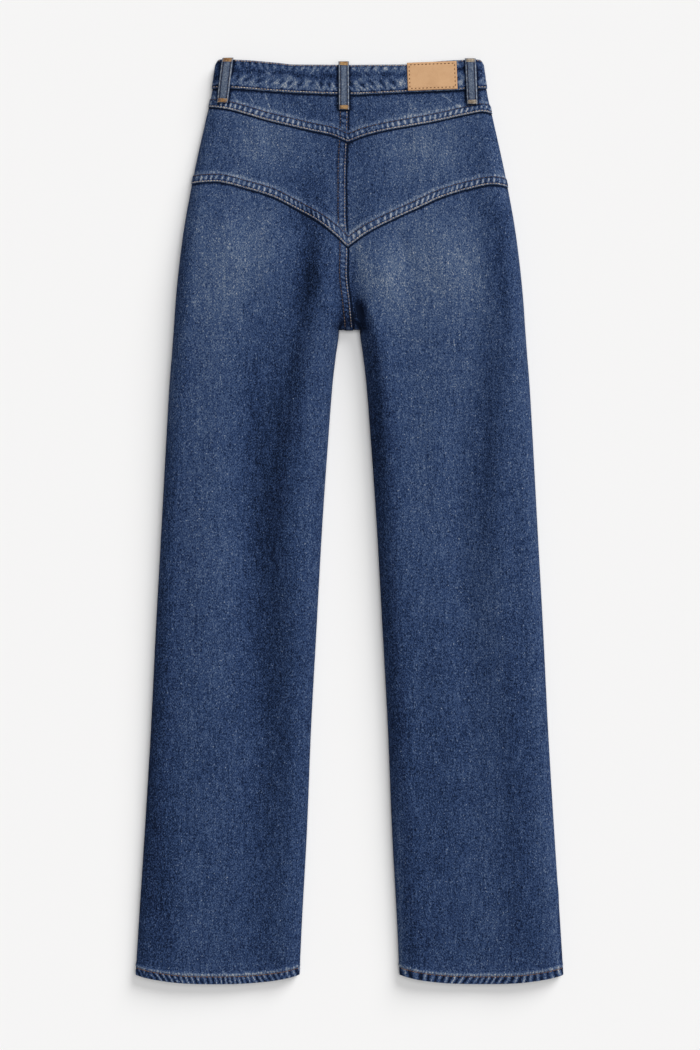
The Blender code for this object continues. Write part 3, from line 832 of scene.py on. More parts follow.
def spread(*stretches):
    """Grid lines: each stretch is its first place, its last and the number of spaces in it."""
    places = [np.linspace(first, last, count + 1)[:-1] for first, last, count in stretches]
    return np.concatenate(places + [[stretches[-1][1]]])


def rolled_spread(first, last, count, tight_at_first):
    """Grid lines that crowd together at a rolled edge."""
    turn = 1 - np.cos(np.linspace(0, math.pi / 2, count + 1))
    return first + (last - first) * turn if tight_at_first else (last - (last - first) * turn)[::-1]


def finish_piece(bm, name, material, nodes=()):
    """Turn the mesh into an object that moves with the garment and stands for its node."""
    mesh = bpy.data.meshes.new(name)
    bm.to_mesh(mesh)
    bm.free()
    mesh.shade_smooth()
    mesh.set_sharp_from_angle(angle=math.radians(60))
    mesh.materials.append(material)
    piece = add_object(name, mesh)
    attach(piece, "root")
    if nodes:
        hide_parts(*nodes)
    return piece


def cloth(
    name, columns, rows, uprights, levels, material, height, added, wall, shade, cut=None, facing=1
):
    """One wall of cloth on a grid. added is the relief on its outer face, wall its thickness and shade its
    tone, the faded dye with any painted shade, each worked out from across and down. cut tells which cells
    of the grid lie outside the piece."""
    across, down = locate(columns, rows, uprights, levels)
    normal = outward(height, across, down, facing)
    edge = np.abs(np.minimum(from_side(across, down), from_inseam(across, down))) < NEAR / 2
    normal[edge, 2] = 0
    normal /= np.linalg.norm(normal, axis=-1, keepdims=True)
    surface = np.stack([across, TOP_Y - down, height(across, down)], axis=-1)
    surface[edge, 2] += facing * SEAM_GAP / 2
    raised = added(across, down) + 0 * across
    thick = wall(across, down) + 0 * across
    outside = (surface + normal * raised[..., None]) * MM
    inward = -normal * (thick + raised)[..., None] * MM
    tone = shade(across, down) + 0 * across
    steps = np.linalg.norm(np.diff(outside, axis=0), axis=-1)
    along = np.concatenate([np.zeros_like(steps[:1]), np.cumsum(steps, axis=0)])

    bm = bmesh.new()
    thickness = bm.verts.layers.float_vector.new("inward")
    wash_and_shade_layer = bm.verts.layers.float.new("wash")
    bmesh.ops.create_grid(bm, x_segments=len(columns) - 1, y_segments=len(rows) - 1, size=1)
    uv_layer = bm.loops.layers.uv.new("weave")
    bm.verts.ensure_lookup_table()
    for index, vert in enumerate(bm.verts):
        j, i = divmod(index, len(columns))
        vert.co = outside[i, j]
        vert[thickness] = inward[i, j]
        vert[wash_and_shade_layer] = tone[i, j]
    for face in bm.faces:
        for loop in face.loops:
            j, i = divmod(loop.vert.index, len(columns))
            loop[uv_layer].uv = (along[i, j], down[i, j] * MM)
    if cut:
        bm.faces.ensure_lookup_table()
        cells = [divmod(index, len(columns) - 1) for index in range(len(bm.faces))]
        outside_piece = [face for face, (j, i) in zip(bm.faces, cells) if cut(columns[i], rows[j])]
        bmesh.ops.delete(bm, geom=outside_piece, context="FACES")
    inner = bmesh.ops.extrude_face_region(bm, geom=list(bm.faces))
    for vert in inner["geom"]:
        if isinstance(vert, bmesh.types.BMVert):
            vert.co += vert[thickness]
    bm.verts.layers.float_vector.remove(bm.verts.layers.float_vector["inward"])
    bmesh.ops.recalc_face_normals(bm, faces=bm.faces)
    return finish_piece(bm, name, material, [name])


def hem_wall(across, down):
    return np.where(hem(across) - down < HEM_WIDTH, HEM_CLOTH, CLOTH)


def centre_edge(side):
    return moved(centre_seam, side * SEAM_GAP / 2)


def below_crotch(column, row):
    return column >= 0.9999 and row >= 0.9999


def leg_levels(top_seam):
    return [moved(top_seam, SEAM_GAP / 2), straight(CROTCH_DOWN), moved(hem, -HEM_WIDTH), hem]


BACK_COLUMNS = np.concatenate([
    rolled_spread(0, 0.1, 10, True)[:-1],
    spread((0.1, 0.877, 100))[:-1],
    rolled_spread(0.877, 1, 12, False),
    spread((1, 2, 22))[1:],
])
BACK_ROWS = np.concatenate([
    spread((0, 0.86, 96))[:-1],
    rolled_spread(0.86, 1, 12, False)[:-1],
    spread((1, 1.06, 14), (1.06, 1.97, 88), (1.97, 2, 18))[:-1],
    spread((2, 3, 14)),
])
leg_denim = denim("denim_legs")
for side_name, side in SIDES:
    back_leg = cloth(
        f"back_leg_{side_name}",
        columns=BACK_COLUMNS,
        rows=BACK_ROWS,
        uprights=[side_edge(side), inner_line(side), centre_edge(side)],
        levels=leg_levels(lower_yoke_seam),
        material=leg_denim,
        height=back_height,
        added=relief,
        wall=hem_wall,
        shade=wash,
        cut=below_crotch,
    )


# Front leg panels
# The same twill, lying flat on the ground under the back. Only their rolled edges show, beside the back
# panels.
FRONT_EDGE_SIDE = 2.0
FRONT_EDGE_CENTRE = 14.0
CORNER_ROUND = 4.5
FRONT_SEAM_SIDE = 36.0
FRONT_SEAM_CENTRE = 50.0
BUTTON_ACROSS = -12.0
BUTTON_RADIUS = 8.5
BUTTON_ROOM = 2.1
BUTTON_REACH = 24.0


def corner_drop(across):
    """How far the top edge is lower where the waistband folds over at its two ends."""
    share = np.clip((np.abs(across) - OUTLINE[0].outer + CORNER_ROUND) / CORNER_ROUND, 0, 1)
    return CORNER_ROUND * (1 - np.sqrt(1 - share**2))


def front_edge(across):
    share = np.abs(across) / OUTLINE[0].outer
    edge = FRONT_EDGE_CENTRE + (FRONT_EDGE_SIDE - FRONT_EDGE_CENTRE) * share**2
    return edge + corner_drop(across)


def front_seam(across):
    share = np.abs(across) / OUTLINE[1].outer
    return FRONT_SEAM_CENTRE + (FRONT_SEAM_SIDE - FRONT_SEAM_CENTRE) * share**2


BUTTON_DOWN = (front_edge(BUTTON_ACROSS) + front_seam(BUTTON_ACROSS)) / 2


def front_height(across, down):
    """The height of the cloth's outer face on the front, which lies on the ground."""
    rolled = roll(from_side(across, down), ROLL_FRONT) * roll(from_inseam(across, down), ROLL_FRONT)
    away = np.hypot(across - BUTTON_ACROSS, down - BUTTON_DOWN)
    room = 1 - roll(BUTTON_REACH - away, BUTTON_REACH - BUTTON_RADIUS - 2 * SEAM_GAP)
    return seam_height(down) * (1 - rolled) + BUTTON_ROOM * (1 - room)


def plain(across, down):
    return 0 * across


def front_wash(across, down):
    """The front is worn pale along the thighs, as the back is over the seat."""
    thigh = bump_at(np.abs(across), 110, 60) * bump_at(down, 420, 210)
    hem_up = hem(across) - down
    turned = np.where(hem_up < HEM_ROW, 0.2 * np.maximum(pads(across, hem_up, LEFT_HEM_PITCH, -0.05), 0), 0)
    return base_wash(down) + 0.16 * thigh + turned


FRONT_COLUMNS = np.concatenate([
    rolled_spread(0, 0.046, 7, True)[:-1],
    spread((0.046, 0.954, 60))[:-1],
    rolled_spread(0.954, 1, 7, False),
    spread((1, 2, 4))[1:],
])
FRONT_ROWS = np.concatenate([
    spread((0, 0.967, 60))[:-1],
    rolled_spread(0.967, 1, 8, False)[:-1],
    spread((1, 1.06, 14), (1.06, 2, 90))[:-1],
    spread((2, 3, 6)),
])
for side_name, side in SIDES:
    front_leg = cloth(
        f"front_leg_{side_name}",
        columns=FRONT_COLUMNS,
        rows=FRONT_ROWS,
        uprights=[side_edge(side), inner_line(side), straight(side * SEAM_GAP / 2)],
        levels=leg_levels(front_seam),
        material=leg_denim,
        height=front_height,
        added=plain,
        wall=hem_wall,
        shade=front_wash,
        cut=below_crotch,
        facing=-1,
    )


# Yokes
# Four shaped pieces of the same twill fit the back over the hips. Each one's lower edge laps the piece
# below it in a flat-felled seam, and the left ones lap the right ones along the centre back.
YOKE_COLUMNS = np.concatenate([
    rolled_spread(0, 0.1, 10, True)[:-1],
    spread((0.1, 1, 128), (1, 2, 20)),
])
# Where the belt loops lie, with painted shade along their edges
Loop = namedtuple("Loop", "name top_across bottom_across top_down bottom_down foot_lift")
LOOPS = (
    Loop("belt_loop_left", -144.2, -150.8, -1.2, 52.4, 1.5),
    Loop("belt_loop_centre", -7.0, -6.6, 3.0, 60.5, 1.5),
    Loop("belt_loop_right", 143.4, 146.1, -0.8, 54.0, 1.5),
)
LOOP_WIDTH = 12.6


def loop_middle(loop, down):
    lean = (loop.bottom_across - loop.top_across) / (loop.bottom_down - loop.top_down)
    return loop.top_across + lean * (down - loop.top_down)


def shade_beside_loops(across, down):
    """How much painted shade lies on the cloth along the loops' edges and below their feet."""
    loop_shade = 0
    for loop in LOOPS:
        sideways = np.abs(across - loop_middle(loop, down)) - LOOP_WIDTH / 2
        away = np.maximum(np.maximum(sideways, down - loop.bottom_down), 0)
        loop_shade = loop_shade + 0.5 * bump_at(away, 0, 2.4)
    return loop_shade


def yoke_wash_and_shade(across, down):
    # The yoke's tone, with the painted shade beside the belt loops taken off
    return wash(across, down) - shade_beside_loops(across, down)


def yoke(name, side, top, bottom, spaces):
    piece = cloth(
        name,
        columns=YOKE_COLUMNS,
        rows=spread((0, 1, spaces)),
        uprights=[side_edge(side), inner_line(side), centre_edge(side)],
        levels=[moved(top, SEAM_GAP / 2), moved(bottom, -SEAM_GAP / 2)],
        material=leg_denim,
        height=back_height,
        added=relief,
        wall=lambda across, down: CLOTH,
        shade=yoke_wash_and_shade,
    )


for side_name, side in SIDES:
    yoke(f"yoke_upper_{side_name}", side, waist_seam, upper_yoke_seam, 46)
    yoke(f"yoke_lower_{side_name}", side, upper_yoke_seam, lower_yoke_seam, 100)


# Waistband
# A straight double band of the twill with a stiff core. The back part is topstitched along both edges, and
# the two front parts meet over the fly.
WAIST_EDGE = (
    Point(-160, 0.0),
    Point(-119, 1.8),
    Point(-86, 4.6),
    Point(-65, 6.6),
    Point(0, 7.1),
    Point(65, 6.6),
    Point(86, 4.6),
    Point(119, 1.8),
    Point(160, 0.0),
)
BAND_CLOTH = 2.6
WAISTBAND_LIFT = 1.3
waist_edge_line = from_table(WAIST_EDGE, "across", "down")
band_denim = denim("denim_waistband")


def waist_edge(across):
    return waist_edge_line(across) + corner_drop(across)


def in_band(across, down):
    """How far a place lies below the waistband's top edge, and how far above its foot."""
    return down - waist_edge(across), waist_seam(across) - down


def band_pads(across, down):
    """How the stitching has drawn up the band: crossing ridges over its foot, pads under its top edge."""
    from_top, from_foot = in_band(across, down)
    one_way = pads(across, from_foot, BAND_PITCH, 0.034)
    other_way = pads(across, from_foot, BAND_PITCH, -0.048)
    lower = np.maximum(one_way, other_way) * bump_at(from_foot, 9.0, 7.5)
    upper = pads(across + 31, from_top, BAND_TOP_PITCH, 0.03) * bump_at(from_top, 4.2, 3.4)
    return lower, upper


def band_relief(across, down):
    from_top, from_foot = in_band(across, down)
    lower, upper = band_pads(across, down)
    rounded = 0.5 * (bump_at(from_top, 0, 0.7) + bump_at(from_foot, 0, 0.7))
    rows = 0.25 * (bump_at(from_top, BAND_ROWS[0], 0.7) + bump_at(from_foot, BAND_ROWS[1], 0.7))
    return WAISTBAND_LIFT - rounded - rows + 0.34 * lower + 0.26 * upper


def band_wash_and_shade(across, down):
    from_top, from_foot = in_band(across, down)
    lower, upper = band_pads(across, down)
    ripple = np.sin(across / 4.7 + 1.7 * np.sin(down / 5.3 + across / 29.0))
    blotch = ripple * np.sin(down / 3.9 + 1.3 * np.sin(across / 8.3)) * bump_at(from_top, 18, 15)
    foot = 0.04 * bump_at(from_foot, 9.5, 7.5) + 0.38 * lower
    inwards = np.clip((across + 100) / 60, 0, 1)
    top = (0.03 + 0.15 * inwards) * bump_at(from_top, 3.5, 5) + 0.26 * upper
    strip = 0.14 * bump_at(from_top + 1.6 * np.sin(across / 17.0), 12.5, 2.8)
    edge = 0.24 * bump_at(from_foot, 0.6, 0.7) + 0.24 * bump_at(from_top, 0.4, 0.8)
    row = 0.3 * bump_at(from_foot, 3.2, 0.8) + 0.16 * bump_at(from_top, 2.6, 0.8)
    ends = 0.08 * bump_at(np.abs(across), 162, 16)
    pale = 0.40 + foot + top - strip + 0.15 * blotch + edge - row - ends
    # Painted shade beside the belt loops is taken off here
    return pale + stroke_wash_and_shade(WHISKERS, across, down, 0.1) - shade_beside_loops(across, down)


waistband_back = cloth(
    "waistband_back",
    columns=np.concatenate([
        rolled_spread(0, 0.12, 10, True)[:-1],
        spread((0.12, 1.88, 300))[:-1],
        rolled_spread(1.88, 2, 10, False),
    ]),
    rows=spread((0, 0.08, 5), (0.08, 0.9, 28), (0.9, 1, 6)),
    uprights=[side_edge(-1), straight(0), side_edge(1)],
    levels=[waist_edge, moved(waist_seam, -SEAM_GAP / 2)],
    material=band_denim,
    height=back_height,
    added=band_relief,
    wall=lambda across, down: BAND_CLOTH - WAISTBAND_LIFT,
    shade=band_wash_and_shade,
)
for side_name, side in SIDES:
    waistband_front = cloth(
        f"waistband_front_{side_name}",
        columns=np.concatenate([rolled_spread(0, 0.06, 8, True)[:-1], spread((0.06, 1, 70))]),
        rows=spread((0, 1, 18)),
        uprights=[side_edge(side), straight(side * SEAM_GAP / 2)],
        levels=[front_edge, moved(front_seam, -SEAM_GAP / 2)],
        material=band_denim,
        height=front_height,
        added=plain,
        wall=lambda across, down: BAND_CLOTH,
        shade=lambda across, down: 0.42,
        facing=-1,
    )


# Belt loops
# Three folded strips of the twill, edge-stitched on both sides and held by a bar tack at each end, one over
# the centre back and one near each side. Their middles bow out from the waistband.
LOOP_CLOTH = 1.8
LOOP_BOW = 1.0
LOOP_ROW = 2.3
LOOP_TACK = 4.6
LOOP_PAD_PITCH = 7.3
WORN_GREY = (
    (0.0, (0.004, 0.007, 0.016)),
    (0.2, (0.012, 0.020, 0.045)),
    (0.4, (0.036, 0.052, 0.100)),
    (0.6, (0.084, 0.112, 0.172)),
    (0.8, (0.170, 0.205, 0.262)),
    (1.0, (0.36, 0.38, 0.42)),
)
loop_denim = denim("denim_loops", 0.0, WORN_GREY, 0.55)


def loop_clear(loop, down):
    """How far a loop's underside is above the cloth's plain height."""
    head = WAISTBAND_LIFT + SEAM_GAP
    room = (head, head + LOOP_BOW, head + LOOP_BOW, head + SEAM_GAP, loop.foot_lift)
    curve = smooth_curve((0, 0.2, 0.62, 0.8, 1), room)
    return curve((down - loop.top_down) / (loop.bottom_down - loop.top_down))


def in_loop(loop, across, down):
    """How far a place lies from the loop's long edges, and how far from its nearer end."""
    from_edge = LOOP_WIDTH / 2 - np.abs(across - loop_middle(loop, down))
    return from_edge, np.minimum(down - loop.top_down, loop.bottom_down - down)


def loop_lift(loop, across, down):
    """How far a loop's face is above the cloth's plain height, with rounded edges and a dip at each row."""
    from_edge, from_end = in_loop(loop, across, down)
    rounded = 0.8 * bump_at(from_edge, 0, 0.8) + 0.8 * bump_at(from_end, 0, 1.0)
    dips = 0.3 * bump_at(from_edge, LOOP_ROW, 0.6) + 0.3 * bump_at(from_end, LOOP_TACK / 2, 2.2)
    drawn = 0.12 * np.sin(down * 2 * math.pi / LOOP_PAD_PITCH) * bump_at(from_edge, 1.0, 1.5)
    return loop_clear(loop, down) + LOOP_CLOTH - rounded - dips + drawn


def loop_wash_and_shade(loop, across, down):
    """How pale a loop is: worn along its edges, dark along its stitches and beside its bar tacks,
    with painted shade on its rounded sides.
    """
    from_edge, from_end = in_loop(loop, across, down)
    rows = 0.42 * bump_at(from_edge, LOOP_ROW, 0.75)
    drawn = 0.5 + 0.5 * np.sin(down * 2 * math.pi / LOOP_PAD_PITCH)
    # The dark term at the very edge is painted shade on the loop's rounded side
    worn = (0.2 + 0.24 * drawn) * bump_at(from_edge, 1.0, 0.65) - 0.3 * bump_at(from_edge, -0.2, 0.7)
    return 0.64 - rows + worn - 0.1 * bump_at(from_end, LOOP_TACK + 1, 1.2)


def belt_loop(loop):
    middle = lambda down: loop_middle(loop, down)
    return cloth(
        loop.name,
        columns=spread((0, 1, 28)),
        rows=spread((0, 1, 76)),
        uprights=[moved(middle, -LOOP_WIDTH / 2), moved(middle, LOOP_WIDTH / 2)],
        levels=[straight(loop.top_down), straight(loop.bottom_down)],
        material=loop_denim,
        height=back_height,
        added=lambda across, down: loop_lift(loop, across, down),
        wall=lambda across, down: -loop_clear(loop, down),
        shade=lambda across, down: loop_wash_and_shade(loop, across, down),
    )


loops = [belt_loop(loop) for loop in LOOPS]


# Waistband patch
# A plain rectangle of tan leather, stitched on all round near its edge. It leans a little and lies on the
# right half of the waistband.
PATCH_ACROSS = 68.2
PATCH_DOWN = 4.8
PATCH_WIDTH = 59.1
PATCH_HEIGHT = 33.4
PATCH_LEAN = math.tan(math.radians(2.2))
PATCH_CLOTH = 1.1
PATCH_ROW = 2.6
PATCH_CLEAR = WAISTBAND_LIFT + SEAM_GAP


def patch_left(down):
    return PATCH_ACROSS + PATCH_LEAN * (down - PATCH_DOWN)


def patch_top(across):
    return PATCH_DOWN - PATCH_LEAN * (across - PATCH_ACROSS)


def from_patch_edge(across, down):
    sideways = PATCH_WIDTH / 2 - np.abs(across - patch_left(down) - PATCH_WIDTH / 2)
    upwards = PATCH_HEIGHT / 2 - np.abs(down - patch_top(across) - PATCH_HEIGHT / 2)
    return np.minimum(sideways, upwards)


def patch_lift(across, down):
    """The leather's face, with a rounded edge, a dip along its stitches and the band's slight ripple."""
    from_edge = from_patch_edge(across, down)
    ripple = 0.1 * np.sin(across / 6.3 + 0.5) * np.sin(down / 7.1)
    dip = 0.22 * bump_at(from_edge, PATCH_ROW, 0.7)
    return PATCH_CLEAR + PATCH_CLOTH - 0.5 * bump_at(from_edge, 0, 0.7) - dip + ripple


LEATHER = ((0.0, (0.40, 0.215, 0.10)), (0.45, (0.585, 0.345, 0.178)), (1.0, (0.70, 0.45, 0.25)))


def leather(name):
    """Tan leather: a fine pebbled grain, cloudy colour and a darker cut edge, given by the attribute."""
    material, tree, shader = new_material(name, 0.62, 0.3)
    place = node(tree, "ShaderNodeTexCoord", output=3)
    edge = node(tree, "ShaderNodeAttribute", {"attribute_name": "wash"}, output=2)
    clouds = noise(tree, place, 90.0, 4.0, 0.6)
    cells = {"Vector": place, "Scale": 900.0}
    grain = node(tree, "ShaderNodeTexVoronoi", {"feature": "DISTANCE_TO_EDGE"}, cells)
    fibre = noise(tree, stretched(tree, place, 0.4), 700.0, 3.0, 0.7)
    tone = edge + 0.5 * (clouds - 0.5) + 0.45 * (fibre - 0.5)
    colour_by(tree, shader, tone, LEATHER)
    emboss(tree, shader, 0.6 * grain + 0.5 * fibre + 0.3 * clouds, 0.35, 0.0004)
    return material


patch = cloth(
    "waistband_patch",
    columns=spread((0, 0.04, 4), (0.04, 0.96, 56), (0.96, 1, 4)),
    rows=spread((0, 0.06, 4), (0.06, 0.94, 32), (0.94, 1, 4)),
    uprights=[patch_left, moved(patch_left, PATCH_WIDTH)],
    levels=[patch_top, moved(patch_top, PATCH_HEIGHT)],
    material=leather("tan_leather"),
    height=back_height,
    added=patch_lift,
    wall=lambda across, down: -PATCH_CLEAR,
    shade=lambda across, down: 0.47 - 0.3 * bump_at(from_patch_edge(across, down), 0, 0.7),
)


# Sewing thread
# Topstitching in thick cotton thread. It has kept its brown where the cloth lies low and is worn to a dull
# pale tan along the raised edges, and the belt loops' bar tacks are golden.
# Each kind of row: the pitch of its stitches, how much of the pitch a stitch takes up, half the thread's
# width, and how far its middle lies over the cloth
Stitch = namedtuple("Stitch", "pitch share radius lift")
SEAM_STITCH = Stitch(3.5, 0.82, 0.6, 0.1)
TOP_STITCH = Stitch(3.5, 0.82, 0.7, 0.12)
FOOT_STITCH = Stitch(3.5, 0.82, 0.66, 0.12)
HEM_STITCH = Stitch(3.5, 0.92, 0.6, 0.1)
LOOP_STITCH = Stitch(2.9, 0.64, 0.48, 0.12)
PATCH_STITCH = Stitch(4.2, 0.56, 0.55, 0.15)
# How far a row ends from the side edge, which it meets at about these places, and how many steps it has
ROW_END = 1.4
HEM_ROW_END = 1.5
SEAM_END_ACROSS = 170.0
BAND_END_ACROSS = 150.0
ROW_STEPS = 900


def thread(name, dark, pale):
    """Twisted cotton thread. Its colour runs between dark and pale, as wear has left it."""
    material, tree, shader = new_material(name, 0.8, 0.25)
    place = node(tree, "ShaderNodeTexCoord", output=3)
    colour_by(tree, shader, noise(tree, place, 170.0, 3.0, 0.7), ((0.36, dark), (0.62, pale)))
    emboss(tree, shader, noise(tree, place, 2600.0, 1.0), 0.4, 0.0002)
    return material


def on_back(across, down, lift):
    """Places on the back of the garment, lift above the cloth's plain height, and the normals there."""
    normal = outward(back_height, across, down, 1)
    surface = np.stack([across, TOP_Y - down, back_height(across, down)], axis=-1)
    return surface + normal * lift[..., None], normal


def lay_threads(bm, starts, ends, normals, radius):
    for start, end, normal in zip(starts, ends, normals):
        along = Vector(end - start)
        length = along.length
        along.normalize()
        sideways = Vector(normal).cross(along).normalized()
        upwards = along.cross(sideways)
        turn = Matrix((sideways * radius * MM, upwards * radius * MM, along * length / 2 * MM)).transposed()
        place = Matrix.Translation(Vector((start + end) / 2 * MM)) @ turn.to_4x4()
        bmesh.ops.create_uvsphere(bm, u_segments=6, v_segments=4, radius=1, matrix=place)


def sew(bm, across, down, cloth_lift, stitch):
    """A row of stitches along a line, on cloth that is cloth_lift above its plain height."""
    points, normals = on_back(across, down, cloth_lift + stitch.lift)
    run = np.concatenate([[0], np.cumsum(np.linalg.norm(np.diff(points, axis=0), axis=1))])
    count = int(run[-1] / stitch.pitch)
    if count < 1:
        return
    middles = (np.arange(count) + 0.5) * run[-1] / count
    read = lambda values, at: np.stack([np.interp(at, run, values[:, k]) for k in range(3)], axis=-1)
    half = stitch.pitch * stitch.share / 2
    starts = read(points, middles - half)
    ends = read(points, middles + half)
    lay_threads(bm, starts, ends, read(normals, middles), stitch.radius)


def covered(across, down):
    """Whether a belt loop or the patch lies over a place."""
    under = from_patch_edge(across, down) > -1
    for loop in LOOPS:
        beside = np.abs(across - loop_middle(loop, down)) < LOOP_WIDTH / 2 + 1
        under = under | (beside & (down < loop.bottom_down + 1))
    return under


def sew_where(bm, shown, across, down, cloth_lift, stitch):
    """Sew the stretches of a line that show."""
    breaks = np.flatnonzero(np.diff(shown.astype(int))) + 1
    for stretch in np.split(np.arange(len(across)), breaks):
        if shown[stretch[0]] and len(stretch) > 3:
            sew(bm, across[stretch], down[stretch], cloth_lift[stretch], stitch)


def seam_row(bm, seam, away):
    reach = outer_half(seam(SEAM_END_ACROSS) - away) - ROW_END
    across = np.linspace(-reach, reach, ROW_STEPS)
    down = seam(across) - away / steepness(seam, across)
    sew_where(bm, ~covered(across, down), across, down, relief(across, down), SEAM_STITCH)


def centre_row(bm, away):
    down = np.linspace(44, CROTCH_DOWN - 3, 700)
    across = centre_seam(down) - away
    shown = ~covered(across, down)
    for seam in (upper_yoke_seam, lower_yoke_seam):
        shown = shown & ~on_fell(above(seam, across, down))
    sew_where(bm, shown, across, down, relief(across, down), SEAM_STITCH)


def band_row(bm, line, stitch):
    reach = outer_half(line(BAND_END_ACROSS)) - ROW_END
    across = np.linspace(-reach, reach, ROW_STEPS)
    down = line(across)
    sew_where(bm, ~covered(across, down), across, down, band_relief(across, down), stitch)


def hem_row(bm, side):
    edges = (inner_half(HEM_DOWN) + HEM_ROW_END, outer_half(HEM_DOWN) - HEM_ROW_END)
    across = side * np.linspace(*edges, 400)
    down = hem(across) - HEM_ROW
    sew(bm, across, down, relief(across, down), HEM_STITCH)


def thread_piece(name, material, rows):
    """One object for the rows of a seam."""
    bm = bmesh.new()
    for row in rows:
        row(bm)
    return finish_piece(bm, name, material)


brown_thread = thread("brown_thread", (0.028, 0.021, 0.024), (0.125, 0.092, 0.084))
worn_thread = thread("worn_thread", (0.150, 0.108, 0.085), (0.54, 0.47, 0.40))
centre_thread = thread("centre_thread", (0.070, 0.051, 0.046), (0.37, 0.32, 0.28))
edge_thread = thread("edge_thread", (0.120, 0.070, 0.055), (0.40, 0.32, 0.27))
hem_thread = thread("hem_thread", (0.060, 0.026, 0.014), (0.20, 0.11, 0.055))
gold_thread = thread("gold_thread", (0.20, 0.090, 0.032), (0.46, 0.29, 0.135))
pale_thread = thread("pale_thread", (0.13, 0.085, 0.055), (0.44, 0.38, 0.30))
loop_thread = thread("loop_thread", (0.010, 0.009, 0.012), (0.055, 0.038, 0.032))
for name, seam in (("yoke_upper", upper_yoke_seam), ("yoke_lower", lower_yoke_seam)):
    thread_piece(f"thread_{name}_edge", worn_thread, [lambda bm: seam_row(bm, seam, FELL_ROWS[0])])
    thread_piece(f"thread_{name}_inner", brown_thread, [lambda bm: seam_row(bm, seam, FELL_ROWS[1])])
thread_piece("thread_centre_edge", centre_thread, [lambda bm: centre_row(bm, FELL_ROWS[0])])
thread_piece("thread_centre_inner", brown_thread, [lambda bm: centre_row(bm, FELL_ROWS[1])])
top_line = moved(waist_edge, BAND_ROWS[0])
foot_line = moved(waist_seam, -BAND_ROWS[1])
thread_piece("thread_waist_top", edge_thread, [lambda bm: band_row(bm, top_line, TOP_STITCH)])
thread_piece("thread_waist_foot", worn_thread, [lambda bm: band_row(bm, foot_line, FOOT_STITCH)])
thread_piece("thread_hems", hem_thread, [lambda bm: hem_row(bm, -1), lambda bm: hem_row(bm, 1)])


TACK_TURNS = 8
TACK_INSET = 0.8
TACK_LIFT = 0.3
TACK_RADIUS = 0.46
LOOP_ROW_OFFSET = LOOP_WIDTH / 2 - LOOP_ROW


def loop_row(bm, loop, offset):
    down = np.linspace(loop.top_down + LOOP_TACK + 1, loop.bottom_down - LOOP_TACK - 1, 120)
    across = loop_middle(loop, down) + offset
    sew(bm, across, down, loop_lift(loop, across, down), LOOP_STITCH)


def bar_tack(bm, loop, first, last):
    """Threads laid side by side across the loop's end, none quite level with the next."""
    for turn, at in enumerate(np.linspace(first, last, TACK_TURNS)):
        tilt = 0.35 * math.sin(2.1 * turn + loop.top_across)
        across = loop_middle(loop, at) + np.linspace(-6.0, 6.0, 9) + 0.25 * math.sin(3.7 * turn)
        down = at + tilt * np.linspace(-1, 1, 9)
        points, normals = on_back(across, down, loop_lift(loop, across, down) + TACK_LIFT)
        split = 3 + turn % 3
        starts = points[[0, split - 1]]
        ends = points[[split + 1, 8]]
        lay_threads(bm, starts, ends, normals[[2, 6]], TACK_RADIUS)


for loop in LOOPS:
    rows = [
        lambda bm: loop_row(bm, loop, -LOOP_ROW_OFFSET),
        lambda bm: loop_row(bm, loop, LOOP_ROW_OFFSET),
    ]
    thread_piece(f"thread_{loop.name}", loop_thread, rows)
    tacks = [
        lambda bm: bar_tack(bm, loop, loop.top_down + TACK_INSET, loop.top_down + LOOP_TACK),
        lambda bm: bar_tack(bm, loop, loop.bottom_down - LOOP_TACK, loop.bottom_down - TACK_INSET),
    ]
    tack_thread = pale_thread if loop.top_across > 100 else gold_thread
    thread_piece(f"bar_tacks_{loop.name}", tack_thread, tacks)


def patch_rows(bm):
    """Stitches round the patch, just inside its edge."""
    left, right = PATCH_ROW, PATCH_WIDTH - PATCH_ROW
    top, foot = PATCH_ROW, PATCH_HEIGHT - PATCH_ROW
    corners = ((left, top), (right, top), (right, foot), (left, foot), (left, top))
    for start, end in zip(corners[:-1], corners[1:]):
        aside, lower = np.linspace(start, end, 60).T
        down = PATCH_DOWN + lower - PATCH_LEAN * aside
        across = PATCH_ACROSS + aside + PATCH_LEAN * lower
        sew(bm, across, down, patch_lift(across, down), PATCH_STITCH)


patch_thread = thread("patch_thread", (0.085, 0.032, 0.014), (0.20, 0.085, 0.035))
thread_piece("thread_patch", patch_thread, [patch_rows])


# Fly zip
# A woven tape with two rows of brass teeth, sewn inside the front. The slider stands at its top, closed.
ZIP_HALF_WIDTH = 13.0
ZIP_TOP = 61.0
ZIP_BOTTOM = 172.0
ZIP_CLOTH = 1.0
ZIP_FLOOR = CLOTH + SEAM_GAP
TAPE_ROUND = 0.3
TOOTH_PITCH = 2.4
TOOTH_SIZE = (3.4, 1.0, 0.9)
TOOTH_ACROSS = 1.4
TOOTH_ROUND = 0.2
SLIDER_LENGTH = 13.0
# The slider's body, its bridge and the pull tab, which lies flat: how far each middle is below the slider's
# top end and above its floor, its size and its rounding
Block = namedtuple("Block", "below above size rounding")
SLIDER_BLOCKS = (
    Block(4.2, 0.7, (9.0, 8.4, 1.4), 0.4),
    Block(4.0, 1.55, (3.0, 5.0, 0.5), 0.15),
    Block(9.0, 1.9, (5.0, 8.0, 0.6), 0.2),
)


def brass(name):
    """Aged brass: brown in its hollows, rubbed bright on its faces."""
    material, tree, shader = new_material(name, 0.4, 0.5, 1.0)
    place = node(tree, "ShaderNodeTexCoord", output=3)
    tarnish = noise(tree, place, 260.0, 4.0, 0.65)
    colour_by(tree, shader, tarnish, ((0.35, (0.22, 0.14, 0.06)), (0.6, (0.56, 0.42, 0.22))))
    tree.links.new((0.62 - 0.4 * tarnish).socket, shader.inputs["Roughness"])
    return material


